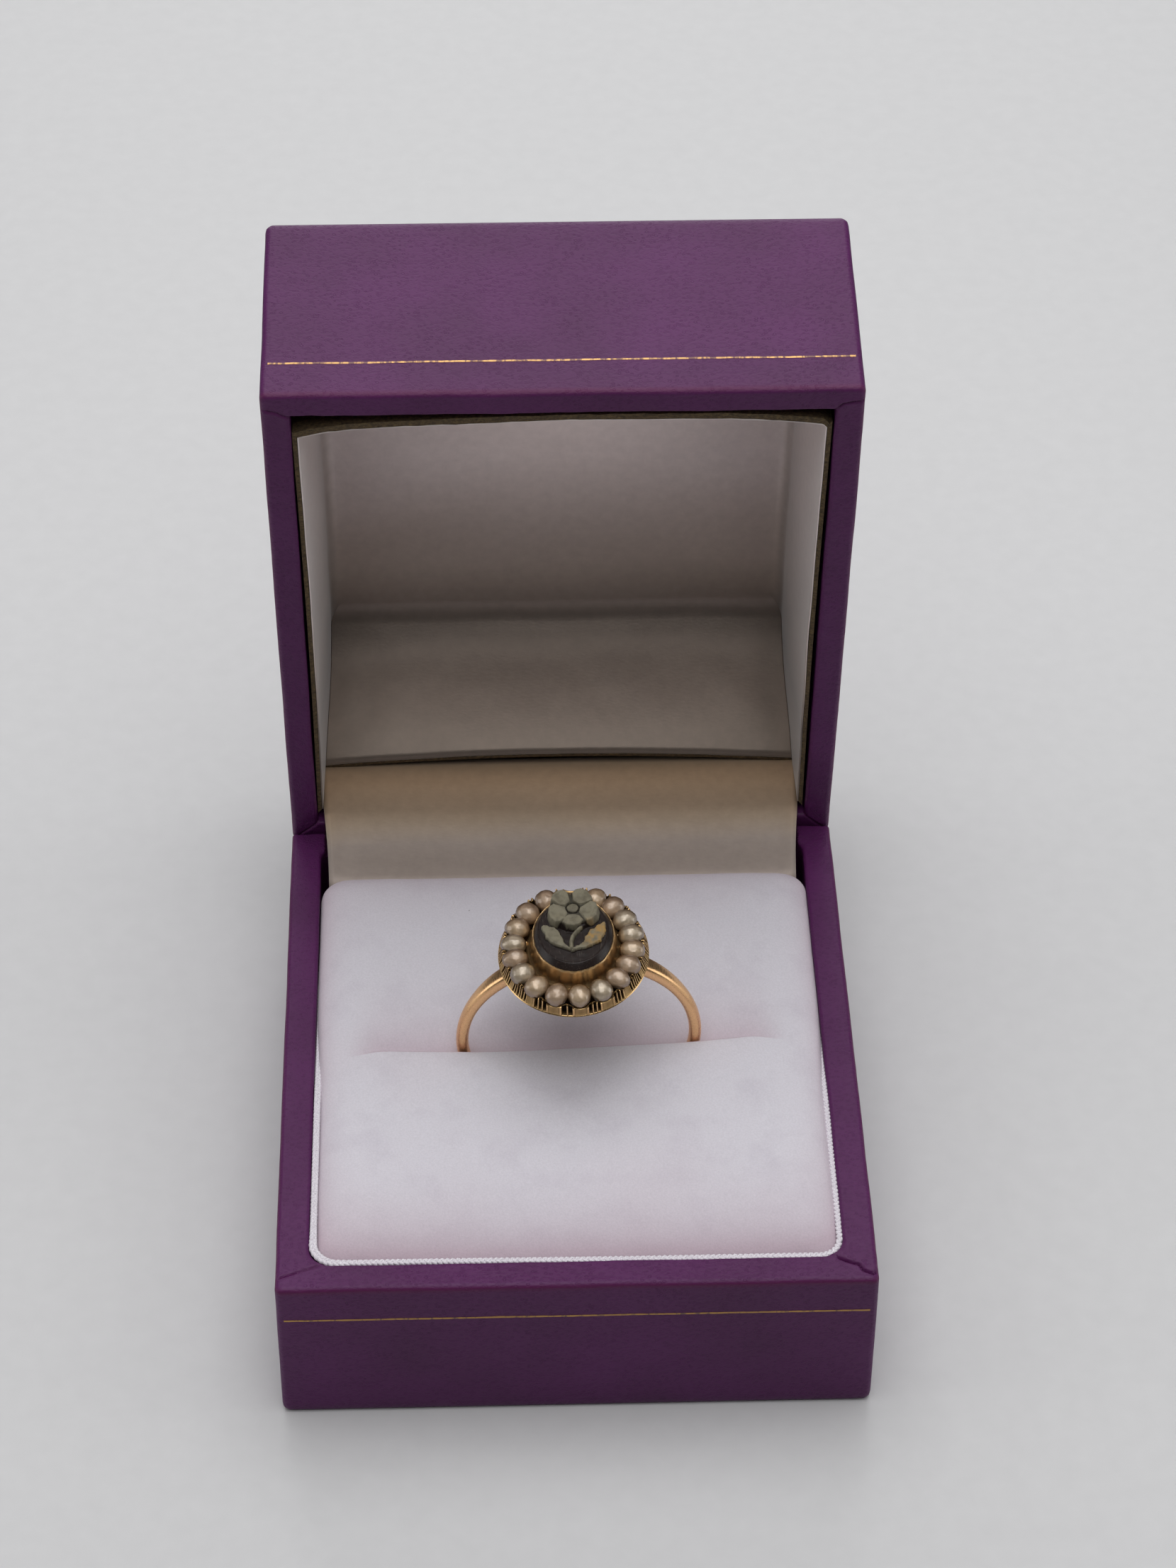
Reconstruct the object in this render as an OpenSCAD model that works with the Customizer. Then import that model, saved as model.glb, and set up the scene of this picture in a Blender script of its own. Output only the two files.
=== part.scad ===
// Cameo ring in a hinged ring box.
// Millimetres. Origin at the bottom centre of the box base, front of the box at -Y, up is +Z.

/* [Box] */
// Width of the box, left to right
box_w = 48; // [46:0.5:52]
// Depth of the box, front to back
box_d = 54.8; // [53:0.1:58]
// Height of the base
base_h = 15.2; // [14.6:0.1:16]
// Height of the lid
lid_h = 20.7; // [20.2:0.1:23]
// Thickness of the base's walls
base_wall = 2.65; // [2.5:0.05:2.8]
// Thickness of the base's floor
floor_t = 1.6; // [1.2:0.1:2.2]
// Thickness of the lid's walls and top
lid_wall = 2.3; // [2.2:0.05:2.4]
// Angle that the lid stands open
open_angle = 82; // [0:1:82]

/* [Pad] */
// Height of the pad's crown above the rim
pad_crown = 0.8; // [0.4:0.1:1]
// Radius of the pad's front corners
pad_corner_r = 2.5; // [1.5:0.1:3.5]
// Width of the braided edging
trim_w = 0.75; // [0.6:0.05:0.85]
// Height of the braided edging
trim_h = 0.9; // [0.6:0.1:1.2]
// Left end of the slit, from the middle of the box
slit_left = 18.3; // [16:0.1:19]
// Right end of the slit, from the middle of the box
slit_right = 16.6; // [15:0.1:18]
// Width of the closed part of the slit
slit_gap = 0.3; // [0.2:0.05:0.5]

/* [Ring] */
// Radius of the hoop at the middle of the band
hoop_r = 9.75; // [8.6:0.05:9.8]
// Radial thickness of the band
band_t = 0.95; // [0.8:0.05:1.1]
// Width of the band along the finger
band_w = 1.3; // [1.1:0.05:1.6]
// Half width of the head across the finger
head_a = 6.1; // [6.05:0.05:6.4]
// Half length of the head along the finger
head_b = 7.05; // [7:0.05:7.4]
// Height of the gallery's wall
gallery_h = 1.4; // [1.2:0.1:1.5]
// Ribs in the gallery's wall for each pearl
ribs_per_pearl = 5; // [4:1:6]
// Flutes round the bezel
flute_n = 30; // [24:2:36]
// Half width of the cameo
cameo_a = 3.2; // [3.1:0.05:3.2]
// Half length of the cameo
cameo_b = 3.95; // [3.85:0.05:3.95]
// Height of the cameo's ground above the seat plate
cameo_h = 2.55; // [2.4:0.05:2.6]
// Height of the flower above the ground
flower_h = 0.85; // [0.6:0.05:0.85]
// Height of a pearl
pearl_h = 1.66; // [1.5:0.02:1.7]

/* [Hinge] */
// Distance of the hinge axis from the back of the box
axis_in = 1.2; // [1.15:0.05:1.25]
// Radius of the hinge barrel
barrel_r = 0.95; // [0.8:0.05:0.95]
// Radius of the hinge pin
pin_r = 0.4; // [0.35:0.05:0.45]
// Thickness of a hinge leaf
leaf_t = 0.5; // [0.4:0.05:0.5]

/* [Hidden] */
$fn = 64;
eps = 0.01;

// Hinge line, and the clearances round it
axis_y = box_d / 2 - axis_in;
split_gap = 0.05;
groove_r = barrel_r + 0.15;
groove_half = box_w / 2 - 3;
notch_depth = axis_in + 0.12;
pin_clear = 0.06;
barrel_half = 20.4;
knuckle_gap = 0.1;
lid_knuckles = [[-12, -4], [4, 12]];
base_knuckles = [[-barrel_half, -12], [-4, 4], [12, barrel_half]];
leaf_len = 7;
leaf_fit = 0.05;
neck_in = 0.3;
neck_rise = 0.15;

// Inside of the base and the pad in it
tray_half = box_w / 2 - base_wall;
tray_front = -box_d / 2 + base_wall;
fit = 0.15;
pad_half = tray_half - fit - trim_w - 0.05;
pad_front = tray_front + fit + trim_w + 0.05;
pad_back = 19.8;
pad_edge_z = base_h - 0.35;
trim_top = base_h - 0.25;
crown_r = (pad_half * pad_half) / (2 * (base_h + pad_crown - pad_edge_z));

// Place and lean of the ring in the slit
ring_x = 0.8;
ring_y = -1.65;
ring_z = 17.1;
ring_lean = 3.3;
ring_turn = 1.7;
ring_roll = 2.4;
slit_turn = 2;

// Levels of the head, above the middle of the hoop
plate_z = 9.95;
plate_t = 0.35;
seat_z = plate_z + plate_t;
foot_h = 0.4;
wall_t = 0.24;
rib_depth = 0.16;
bezel_a = 3.6;
bezel_b = 4.35;
bezel_t = 0.3;
bezel_h = 2.15;
flute_depth = 0.08;

// Border of pearls: angle round the head, size across, size outwards, lift
pearl_a = 4.78;
pearl_b = 5.68;
pearl_foot = 0.06;
pearl_table = [
    [-87.5, 1.74, 2.00, 0.00], [ -66, 1.72, 1.98, 0.02], [   -45, 1.62, 2.00, 0.00],
    [  -27, 1.64, 2.02, 0.00], [-9.5, 1.66, 2.00, 0.00], [     8, 1.68, 1.98, 0.02],
    [   26, 1.66, 1.98, 0.00], [44.5, 1.66, 2.00, 0.03], [    64, 1.70, 1.94, 0.00],
    [ 88.5, 1.74, 1.94, 0.00], [ 113, 1.74, 1.98, 0.02], [   136, 1.74, 2.00, 0.00],
    [  156, 1.70, 1.98, 0.02], [ 174, 1.60, 2.00, 0.00], [  -169, 1.64, 2.02, 0.00],
    [-150.5, 1.74, 2.00, 0.00], [-130.5, 1.74, 2.02, 0.00], [-109, 1.72, 1.98, 0.02]
];

// Liner of the lid: thickness, gap to the rim, and where its back panel leans
card_t = 0.8;
liner_rim = 0.6;
liner_top = lid_h - lid_wall - 0.15;
liner_front = box_d / 2 + axis_y - lid_wall - 0.4;
liner_half = box_w / 2 - lid_wall - 0.25;
lean_top_s = 10.4;
lean_foot_s = 3.5;
lean_foot_depth = 5.2;
cloth_t = 0.6;
cloth_back = -6.1;
cloth_low = -0.5;
cloth_front = -2.5;
cloth_high = -0.1;
cloth_rim = 1.1;

// Points of an ellipse with the half axes a and b
function oval(a, b, n = 60) = [for (i = [0 : n - 1]) [a * cos(360 * i / n), b * sin(360 * i / n)]];

// An ellipse whose edge is cut into ribs: each rib takes half of its pitch
function ribbed(a, b, depth, ribs) = [
    for (i = [0 : ribs - 1], k = [0 : 3])
        let (turn = 360 * (i + [0, 0.5, 0.5, 1][k]) / ribs, cut = k < 2 ? 0 : depth)
        [(a - cut) * cos(turn - 0.01 * k), (b - cut) * sin(turn - 0.01 * k)]
];

// An ellipse with shallow round flutes
function fluted(a, b, depth, flutes) = [
    for (i = [0 : 4 * flutes - 1])
        let (turn = 90 * i / flutes, cut = depth * (1 + cos(360 * i / 4)) / 2)
        [(a - cut) * cos(turn), (b - cut) * sin(turn)]
];

// A number raised to a power with its sign kept
function signed_pow(v, p) = sign(v) * pow(abs(v), p);

// Section of the band: nearly flat inside, domed outside
function band_section() = [
    for (t = [0 : 18 : 342])
        [hoop_r + band_t / 2 * signed_pow(cos(t), cos(t) < 0 ? 0.55 : 1),
         band_w / 2 * signed_pow(sin(t), 0.8)]
];

// Half outline of a pearl, of the given width and length
function pearl_outline(across, along) = [
    for (t = [-90 : 15 : 90]) [across / 2 * cos(t), along / 2 * sin(t)]
];

module ring_place() {
    translate([ring_x, ring_y, ring_z])
        rotate([0, 0, ring_turn]) rotate([ring_lean, 0, 0]) rotate([0, -ring_roll, 0]) children();
}

module lid_place() {
    translate([0, axis_y, base_h]) rotate([-open_angle, 0, 0]) translate([0, -axis_y, -base_h]) children();
}

module at_axis() {
    translate([0, axis_y, base_h]) children();
}

// A cylinder along X between two places
module rod(x0, x1, r) {
    translate([x0, 0, 0]) rotate([0, 90, 0]) cylinder(r = r, h = x1 - x0);
}

// A block given by its ends along X, Y and Z
module block(x, y, z) {
    translate([x[0], y[0], z[0]]) cube([x[1] - x[0], y[1] - y[0], z[1] - z[0]]);
}

// Outline with two round front corners and a straight back
module pad_outline(half, front, back, r) {
    translate([-half, front + r]) square([2 * half, back - front - r]);
    translate([-half + r, front]) square([2 * (half - r), r + eps]);
    for (side = [-1, 1]) translate([side * (half - r), front + r]) circle(r = r);
}

module box_tray() {
    color("#5a3560") difference() {
        block([-box_w / 2, box_w / 2], [-box_d / 2, box_d / 2], [0, base_h - split_gap]);
        block([-tray_half, tray_half], [tray_front, box_d / 2 - base_wall], [floor_t, base_h + 1]);
        at_axis() {
            block([-box_w, box_w], [-0.1, axis_in + 1], [-notch_depth, 1]);
            block([-groove_half, groove_half], [-base_wall, axis_in + 1], [-groove_r, 1]);
        }
    }
}

module pad() {
    slit_len = slit_left + slit_right;
    slit_foot = ring_z - hoop_r - band_t / 2 - 0.1;
    color("#c9c3cf") difference() {
        intersection() {
            translate([0, 0, floor_t + 0.05]) linear_extrude(height = base_h + pad_crown)
                pad_outline(pad_half, pad_front, pad_back, pad_corner_r);
            translate([-box_w, 0, base_h + pad_crown - crown_r]) rotate([0, 90, 0])
                cylinder(r = crown_r, h = 2 * box_w, $fn = 128);
            translate([0, -box_d, base_h + pad_crown - crown_r]) rotate([-90, 0, 0])
                cylinder(r = crown_r, h = 2 * box_d, $fn = 128);
        }
        translate([ring_x, ring_y, 0]) rotate([0, 0, slit_turn])
            translate([-slit_left - ring_x, -slit_gap / 2, slit_foot]) cube([slit_len, slit_gap, base_h]);
        ring_place() rotate([90, 0, 0]) difference() {
            cylinder(r = hoop_r + band_t / 2 + 0.1, h = band_w + 0.3, center = true);
            cylinder(r = hoop_r - band_t / 2 - 0.1, h = band_w + 1, center = true);
        }
    }
}

module pad_trim() {
    outer_half = tray_half - fit;
    outer_front = tray_front + fit;
    color("#e6e2ea") translate([0, 0, trim_top - trim_h]) linear_extrude(height = trim_h) difference() {
        pad_outline(outer_half, outer_front, pad_back, pad_corner_r + trim_w);
        pad_outline(outer_half - trim_w, outer_front + trim_w, pad_back + 1, pad_corner_r);
    }
}

module base_hinge() {
    leaf_y = -base_wall + axis_in - leaf_fit;
    color("#b9a06a") at_axis() {
        for (k = base_knuckles) {
            rod(k[0], k[1], barrel_r);
            block([k[0], k[1]], [leaf_y - leaf_t, -neck_in], [-barrel_r, -neck_rise]);
        }
        rod(-barrel_half, barrel_half, pin_r);
        block([-barrel_half, barrel_half], [leaf_y - leaf_t, leaf_y], [-leaf_len, -neck_in]);
    }
}

module lid_hinge() {
    leaf_y = -lid_wall + axis_in - leaf_fit;
    color("#b9a06a") lid_place() at_axis() difference() {
        union() {
            for (k = lid_knuckles) {
                rod(k[0] + knuckle_gap, k[1] - knuckle_gap, barrel_r);
                block([k[0] + knuckle_gap, k[1] - knuckle_gap],
                      [leaf_y - leaf_t, -neck_in], [neck_rise, barrel_r]);
            }
            block([-barrel_half, barrel_half], [leaf_y - leaf_t, leaf_y], [neck_in, leaf_len]);
        }
        rod(-barrel_half - 1, barrel_half + 1, pin_r + pin_clear);
    }
}

// Strip between the pad and the barrel, seen from its end as four corners
module hinge_cloth_base() {
    color("#958b86") at_axis() rotate([90, 0, 90]) translate([0, 0, -barrel_half])
        linear_extrude(height = 2 * barrel_half)
            polygon([[cloth_back, cloth_low], [cloth_front, cloth_high],
                     [cloth_front, cloth_high + cloth_t], [cloth_back, cloth_low + cloth_t]]);
}

module hinge_cloth_lid() {
    foot = lid_wall - axis_in + leaf_t + 0.15;
    color("#958b86") lid_place() at_axis()
        block([-barrel_half, barrel_half], [-foot - cloth_t, -foot], [cloth_rim, lean_foot_depth - neck_in]);
}

module lid_shell() {
    color("#64446a") lid_place() difference() {
        block([-box_w / 2, box_w / 2], [-box_d / 2, box_d / 2], [base_h + split_gap, base_h + lid_h]);
        block([-box_w / 2 + lid_wall, box_w / 2 - lid_wall],
              [-box_d / 2 + lid_wall, box_d / 2 - lid_wall], [base_h - 1, base_h + lid_h - lid_wall]);
        at_axis() block([-groove_half, groove_half], [-lid_wall, axis_in + 1], [-1, groove_r]);
    }
}

// Side view of the liner, as distance from the hinge axis and depth behind the rim
module liner_side(front, top, foot_s, lean_s, rim, foot_depth) {
    polygon([[-front, rim], [-front, top], [-lean_s, top], [-foot_s, foot_depth], [-foot_s, rim]]);
}

module lid_liner() {
    lean_shift = card_t * 1.15;
    color("#a9a2a6") lid_place() at_axis() rotate([90, 0, 90]) difference() {
        translate([0, 0, -liner_half]) linear_extrude(height = 2 * liner_half)
            liner_side(liner_front, liner_top, lean_foot_s, lean_top_s, liner_rim, lean_foot_depth);
        translate([0, 0, -liner_half + card_t]) linear_extrude(height = 2 * (liner_half - card_t))
            polygon([
                [-liner_front + card_t, liner_rim - 1], [-liner_front + card_t, liner_top - card_t],
                [-lean_top_s - 0.5, liner_top - card_t], [-lean_foot_s - lean_shift, lean_foot_depth],
                [-lean_foot_s + 1, lean_foot_depth], [-lean_foot_s + 1, liner_rim - 1]
            ]);
    }
}

// Wall, plate and foot of the head
module gallery() {
    ribs = 18 * ribs_per_pearl;
    translate([0, 0, plate_z]) {
        linear_extrude(height = plate_t) polygon(oval(head_a - 0.1, head_b - 0.1));
        linear_extrude(height = foot_h) polygon(oval(head_a, head_b));
        linear_extrude(height = gallery_h) difference() {
            polygon(ribbed(head_a, head_b, rib_depth, ribs));
            polygon(oval(head_a - wall_t, head_b - wall_t, 90));
        }
    }
}

module bezel() {
    translate([0, 0, seat_z - eps]) linear_extrude(height = bezel_h) difference() {
        polygon(fluted(bezel_a, bezel_b, flute_depth, flute_n));
        polygon(oval(bezel_a - bezel_t, bezel_b - bezel_t));
    }
}

module ring_mount() {
    color("#c79a5e") ring_place() {
        rotate([90, 0, 0]) rotate_extrude($fn = 120) polygon(band_section());
        gallery();
        bezel();
    }
}

// Solid between ellipses: each row holds the half width, the half length and the height
module oval_loft(rows, n = 48) {
    rings = len(rows);
    last = rings - 1;
    polyhedron(
        points = [for (row = rows, p = oval(row[0], row[1], n)) [p[0], p[1], row[2]]],
        faces = concat(
            [[for (i = [0 : n - 1]) i]],
            [for (r = [0 : last - 1], i = [0 : n - 1], half = [0, 1])
                let (a = r * n + i, b = r * n + (i + 1) % n)
                half == 0 ? [a, a + n, b] : [b, a + n, b + n]],
            [[for (i = [n - 1 : -1 : 0]) last * n + i]]
        )
    );
}

// One petal, lying along +X from the flower's middle
module petal() {
    hull() {
        translate([0.55, 0, 0]) scale([1, 1, 0.9]) sphere(r = 0.3, $fn = 16);
        for (side = [-1, 1]) translate([1.35, side * 0.28, 0]) scale([1, 1, 0.9]) sphere(r = 0.52, $fn = 16);
    }
}

// A leaf with a toothed edge, lying along +X from its foot
module leaf(length, width) {
    steps = 7;
    linear_extrude(height = 0.5) polygon(concat(
        [for (i = [0 : steps]) let (u = i / steps)
            [u * length, width * sin(180 * pow(u, 0.8)) * (i % 2 == 0 ? 1 : 0.86) + 0.06]],
        [for (i = [steps : -1 : 0]) let (u = i / steps)
            [u * length, -width * sin(180 * pow(u, 0.8)) * (i % 2 == 0 ? 0.86 : 1) - 0.06]]
    ));
}

// The curved stem, from the foot of the leaves to the flower
module stem() {
    bend = 8;
    mid = [for (i = [0 : bend]) let (u = i / bend) [0.1 + 0.85 * u * u, 3.1 * u - 0.35 * u * u]];
    linear_extrude(height = 0.5) polygon(concat(
        [for (p = mid) [p[0] - 0.14, p[1]]],
        [for (i = [bend : -1 : 0]) [mid[i][0] + 0.14, mid[i][1]]]
    ));
}

module cameo() {
    foot_z = seat_z + 0.05;
    ground_z = seat_z + cameo_h;
    color("#2a2728") ring_place() {
        oval_loft([
            [cameo_a, cameo_b, foot_z], [cameo_a, cameo_b, ground_z - 0.5],
            [cameo_a - 0.15, cameo_b - 0.15, ground_z - 0.22], [cameo_a - 0.45, cameo_b - 0.5, ground_z],
            [cameo_a - 0.62, cameo_b - 0.68, ground_z - 0.1], [0.8, 1.1, ground_z]
        ]);
        translate([0.1, 1.75, ground_z + flower_h - 0.48]) {
            for (i = [0 : 4]) rotate([0, 0, -90 + 72 * i]) petal();
            sphere(r = 0.42, $fn = 20);
        }
        translate([-0.05, -2.7, ground_z - 0.2]) {
            rotate([0, 0, 128]) leaf(3.75, 0.62);
            rotate([0, 0, 46]) leaf(3.95, 0.66);
            stem();
        }
    }
}

module pearl(i) {
    row = pearl_table[i - 1];
    color("#d9c6ae") ring_place()
        translate([pearl_a * cos(row[0]), pearl_b * sin(row[0]), seat_z + pearl_h / 2 + pearl_foot + row[3]])
            rotate([0, 0, atan2(pearl_a * sin(row[0]), pearl_b * cos(row[0]))]) rotate([0, 90, 0])
                rotate_extrude($fn = 32) polygon(pearl_outline(row[1], row[2]));
}

box_tray();
pad();
pad_trim();
base_hinge();
hinge_cloth_base();
ring_mount();
cameo();
pearl(1);  // pearl_01
pearl(2);  // pearl_02
pearl(3);  // pearl_03
pearl(4);  // pearl_04
pearl(5);  // pearl_05
pearl(6);  // pearl_06
pearl(7);  // pearl_07
pearl(8);  // pearl_08
pearl(9);  // pearl_09
pearl(10);  // pearl_10
pearl(11);  // pearl_11
pearl(12);  // pearl_12
pearl(13);  // pearl_13
pearl(14);  // pearl_14
pearl(15);  // pearl_15
pearl(16);  // pearl_16
pearl(17);  // pearl_17
pearl(18);  // pearl_18
lid_shell();
lid_liner();
lid_hinge();
hinge_cloth_lid();
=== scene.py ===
import math
import random

import bmesh
import bpy
import numpy as np
from mathutils import Matrix, Vector, noise


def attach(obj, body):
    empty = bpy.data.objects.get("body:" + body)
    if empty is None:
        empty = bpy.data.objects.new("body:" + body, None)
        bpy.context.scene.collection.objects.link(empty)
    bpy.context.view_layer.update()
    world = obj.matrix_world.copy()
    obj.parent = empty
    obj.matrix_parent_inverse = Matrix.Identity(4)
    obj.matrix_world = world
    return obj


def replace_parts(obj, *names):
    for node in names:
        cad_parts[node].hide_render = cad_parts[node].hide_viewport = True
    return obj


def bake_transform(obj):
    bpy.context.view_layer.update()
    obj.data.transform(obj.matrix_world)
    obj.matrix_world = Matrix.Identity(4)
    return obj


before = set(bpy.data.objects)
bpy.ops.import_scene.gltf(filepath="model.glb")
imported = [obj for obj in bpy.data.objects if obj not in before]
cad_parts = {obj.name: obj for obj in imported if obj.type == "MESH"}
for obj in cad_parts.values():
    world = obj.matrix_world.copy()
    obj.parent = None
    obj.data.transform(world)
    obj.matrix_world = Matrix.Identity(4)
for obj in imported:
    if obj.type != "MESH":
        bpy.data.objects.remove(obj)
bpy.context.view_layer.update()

# Cameo ring held in the slit of an open ring box. Sizes here are in millimetres and in the CAD's frame:
# origin under the middle of the base, front at -Y, up at +Z. They turn to metres when a mesh is made.
mm = 0.001

box = {
    "halfWidth": 24.0,
    "halfDepth": 27.4,
    "hingeY": 26.2,
    "hingeZ": 15.2,  # the height of the base too
    "lidHeight": 20.7,
    "openAngle": 82.0,
}

# Where the ring stands: middle and radius of the hoop, then turn about Z, lean about X, roll about Y
ringStand = {"middle": (0.8, -1.65, 17.1), "radius": 9.75, "turn": 1.7, "lean": 3.3, "roll": -2.4}

quarter = np.radians(np.linspace(0, 90, 7))  # steps round a small rounded edge
farOff = 9.0  # further than any distance measured on the creases and the carving


def smooth(value, low, high):
    t = np.clip((np.asarray(value, float) - low) / (high - low), 0, 1)
    return t * t * (3 - 2 * t)


def ripple(points, size, seed=0.0):
    # soft noise from -1 to 1 at each place, with bumps about one size across
    shift = Vector((seed, 1.7 * seed, -0.6 * seed))
    return np.array([noise.noise(Vector(p) / size + shift) for p in points])


def rippleOver(x, y, size, seed):
    flat = np.column_stack([x.ravel(), y.ravel(), np.zeros(x.size)])
    return ripple(flat, size, seed).reshape(x.shape)


def rippleRound(angle, bumps, seed):
    # soft noise that meets itself again after one turn, with so many bumps in a radian
    return noise.noise(Vector((math.cos(angle) * bumps, math.sin(angle) * bumps, seed)))


def readLine(path, x):
    # values at each x of a line drawn through points of (x, value)
    return np.interp(x, *zip(*path))


def onLid(x, up, deep):
    # up: distance from the hinge along the lid's rim. deep: distance behind the rim
    turn = math.radians(box["openAngle"])
    x, up, deep = np.broadcast_arrays(np.asarray(x, float), up, deep)
    y = box["hingeY"] - up * math.cos(turn) + deep * math.sin(turn)
    z = box["hingeZ"] + up * math.sin(turn) + deep * math.cos(turn)
    return np.stack([x, y, z], -1)


ringTurn = np.array(
    Matrix.Rotation(math.radians(ringStand["turn"]), 3, "Z")
    @ Matrix.Rotation(math.radians(ringStand["lean"]), 3, "X")
    @ Matrix.Rotation(math.radians(ringStand["roll"]), 3, "Y")
)


def onRing(points):
    return np.asarray(points, float) @ ringTurn.T + np.array(ringStand["middle"])


def gridFaces(rows, columns, wrap=False, skip=None):
    faces = []
    for r in range(rows - 1):
        for c in range(columns if wrap else columns - 1):
            if skip is None or not skip(r, c):
                n = (c + 1) % columns
                faces.append((r * columns + c, r * columns + n, (r + 1) * columns + n, (r + 1) * columns + c))
    return faces


def gridBorder(rows, columns):
    # numbers of the points round the outside of a grid
    loop = [(0, c) for c in range(columns)] + [(r, columns - 1) for r in range(1, rows)]
    loop += [(rows - 1, c) for c in range(columns - 2, -1, -1)] + [(r, 0) for r in range(rows - 2, 0, -1)]
    return [r * columns + c for r, c in loop]


def bandFaces(near, far):
    # faces between two closed loops of point numbers
    count = len(near)
    return [(near[k], near[(k + 1) % count], far[(k + 1) % count], far[k]) for k in range(count)]


def addPiece(name, points, faces, material, body, sharp=None, marks=None):
    # body None: the piece is not attached to a body here
    mesh = bpy.data.meshes.new(name)
    mesh.from_pydata((np.asarray(points).reshape(-1, 3) * mm).tolist(), [], faces)
    for mark, values in (marks or {}).items():
        mesh.attributes.new(mark, "FLOAT", "POINT").data.foreach_set("value", np.asarray(values, float).ravel())
    work = bmesh.new()
    work.from_mesh(mesh)
    bmesh.ops.remove_doubles(work, verts=work.verts, dist=0.0004 * mm)
    bmesh.ops.dissolve_degenerate(work, edges=work.edges, dist=0.0004 * mm)
    bmesh.ops.recalc_face_normals(work, faces=work.faces)
    work.to_mesh(mesh)
    work.free()
    mesh.shade_smooth()
    if sharp:
        mesh.set_sharp_from_angle(angle=math.radians(sharp))
    mesh.materials.append(material)
    piece = bpy.data.objects.new(name, mesh)
    bpy.context.collection.objects.link(piece)
    if body:
        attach(piece, body)
    return piece


def thicken(piece, thick):
    # cloth gets its thickness evenly on both sides
    layer = piece.modifiers.new("thickness", "SOLIDIFY")
    layer.thickness, layer.offset = thick * mm, 0.0


def dress(node, material):
    # a better material for a CAD node that stays
    for slot in bpy.data.objects[node].material_slots:
        slot.material = material


def linear(code):
    parts = [int(code[i:i + 2], 16) / 255 for i in (1, 3, 5)]
    return tuple(p / 12.92 if p <= 0.04045 else ((p + 0.055) / 1.055) ** 2.4 for p in parts) + (1.0,)


def addNode(tree, kind, settings=None, links=None):
    # inputs go by name or number. Map Range: 1 and 2 from, 3 and 4 to. Mix: 6 and 7 are its colours
    node = tree.nodes.new("ShaderNode" + kind)
    for key, value in (settings or {}).items():
        if key == "stops":
            node.color_ramp.elements[0].position, node.color_ramp.elements[0].color = value[0]
            node.color_ramp.elements[1].position, node.color_ramp.elements[1].color = value[-1]
            for place, colour in value[1:-1]:
                node.color_ramp.elements.new(place).color = colour
        elif isinstance(key, int) or key in node.inputs:
            node.inputs[key].default_value = value
        else:
            setattr(node, key, value)
    for key, socket in (links or {}).items():
        tree.links.new(socket, node.inputs[key])
    return node


def newMaterial(name):
    material = bpy.data.materials.new(name)
    material.use_nodes = True
    tree = material.node_tree
    tree.nodes.clear()
    return material, tree, addNode(tree, "TexCoord").outputs["Object"]


def perMm(size):
    # texture scale for a pattern whose repeat is so many millimetres
    return 1 / (size * mm)


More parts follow.
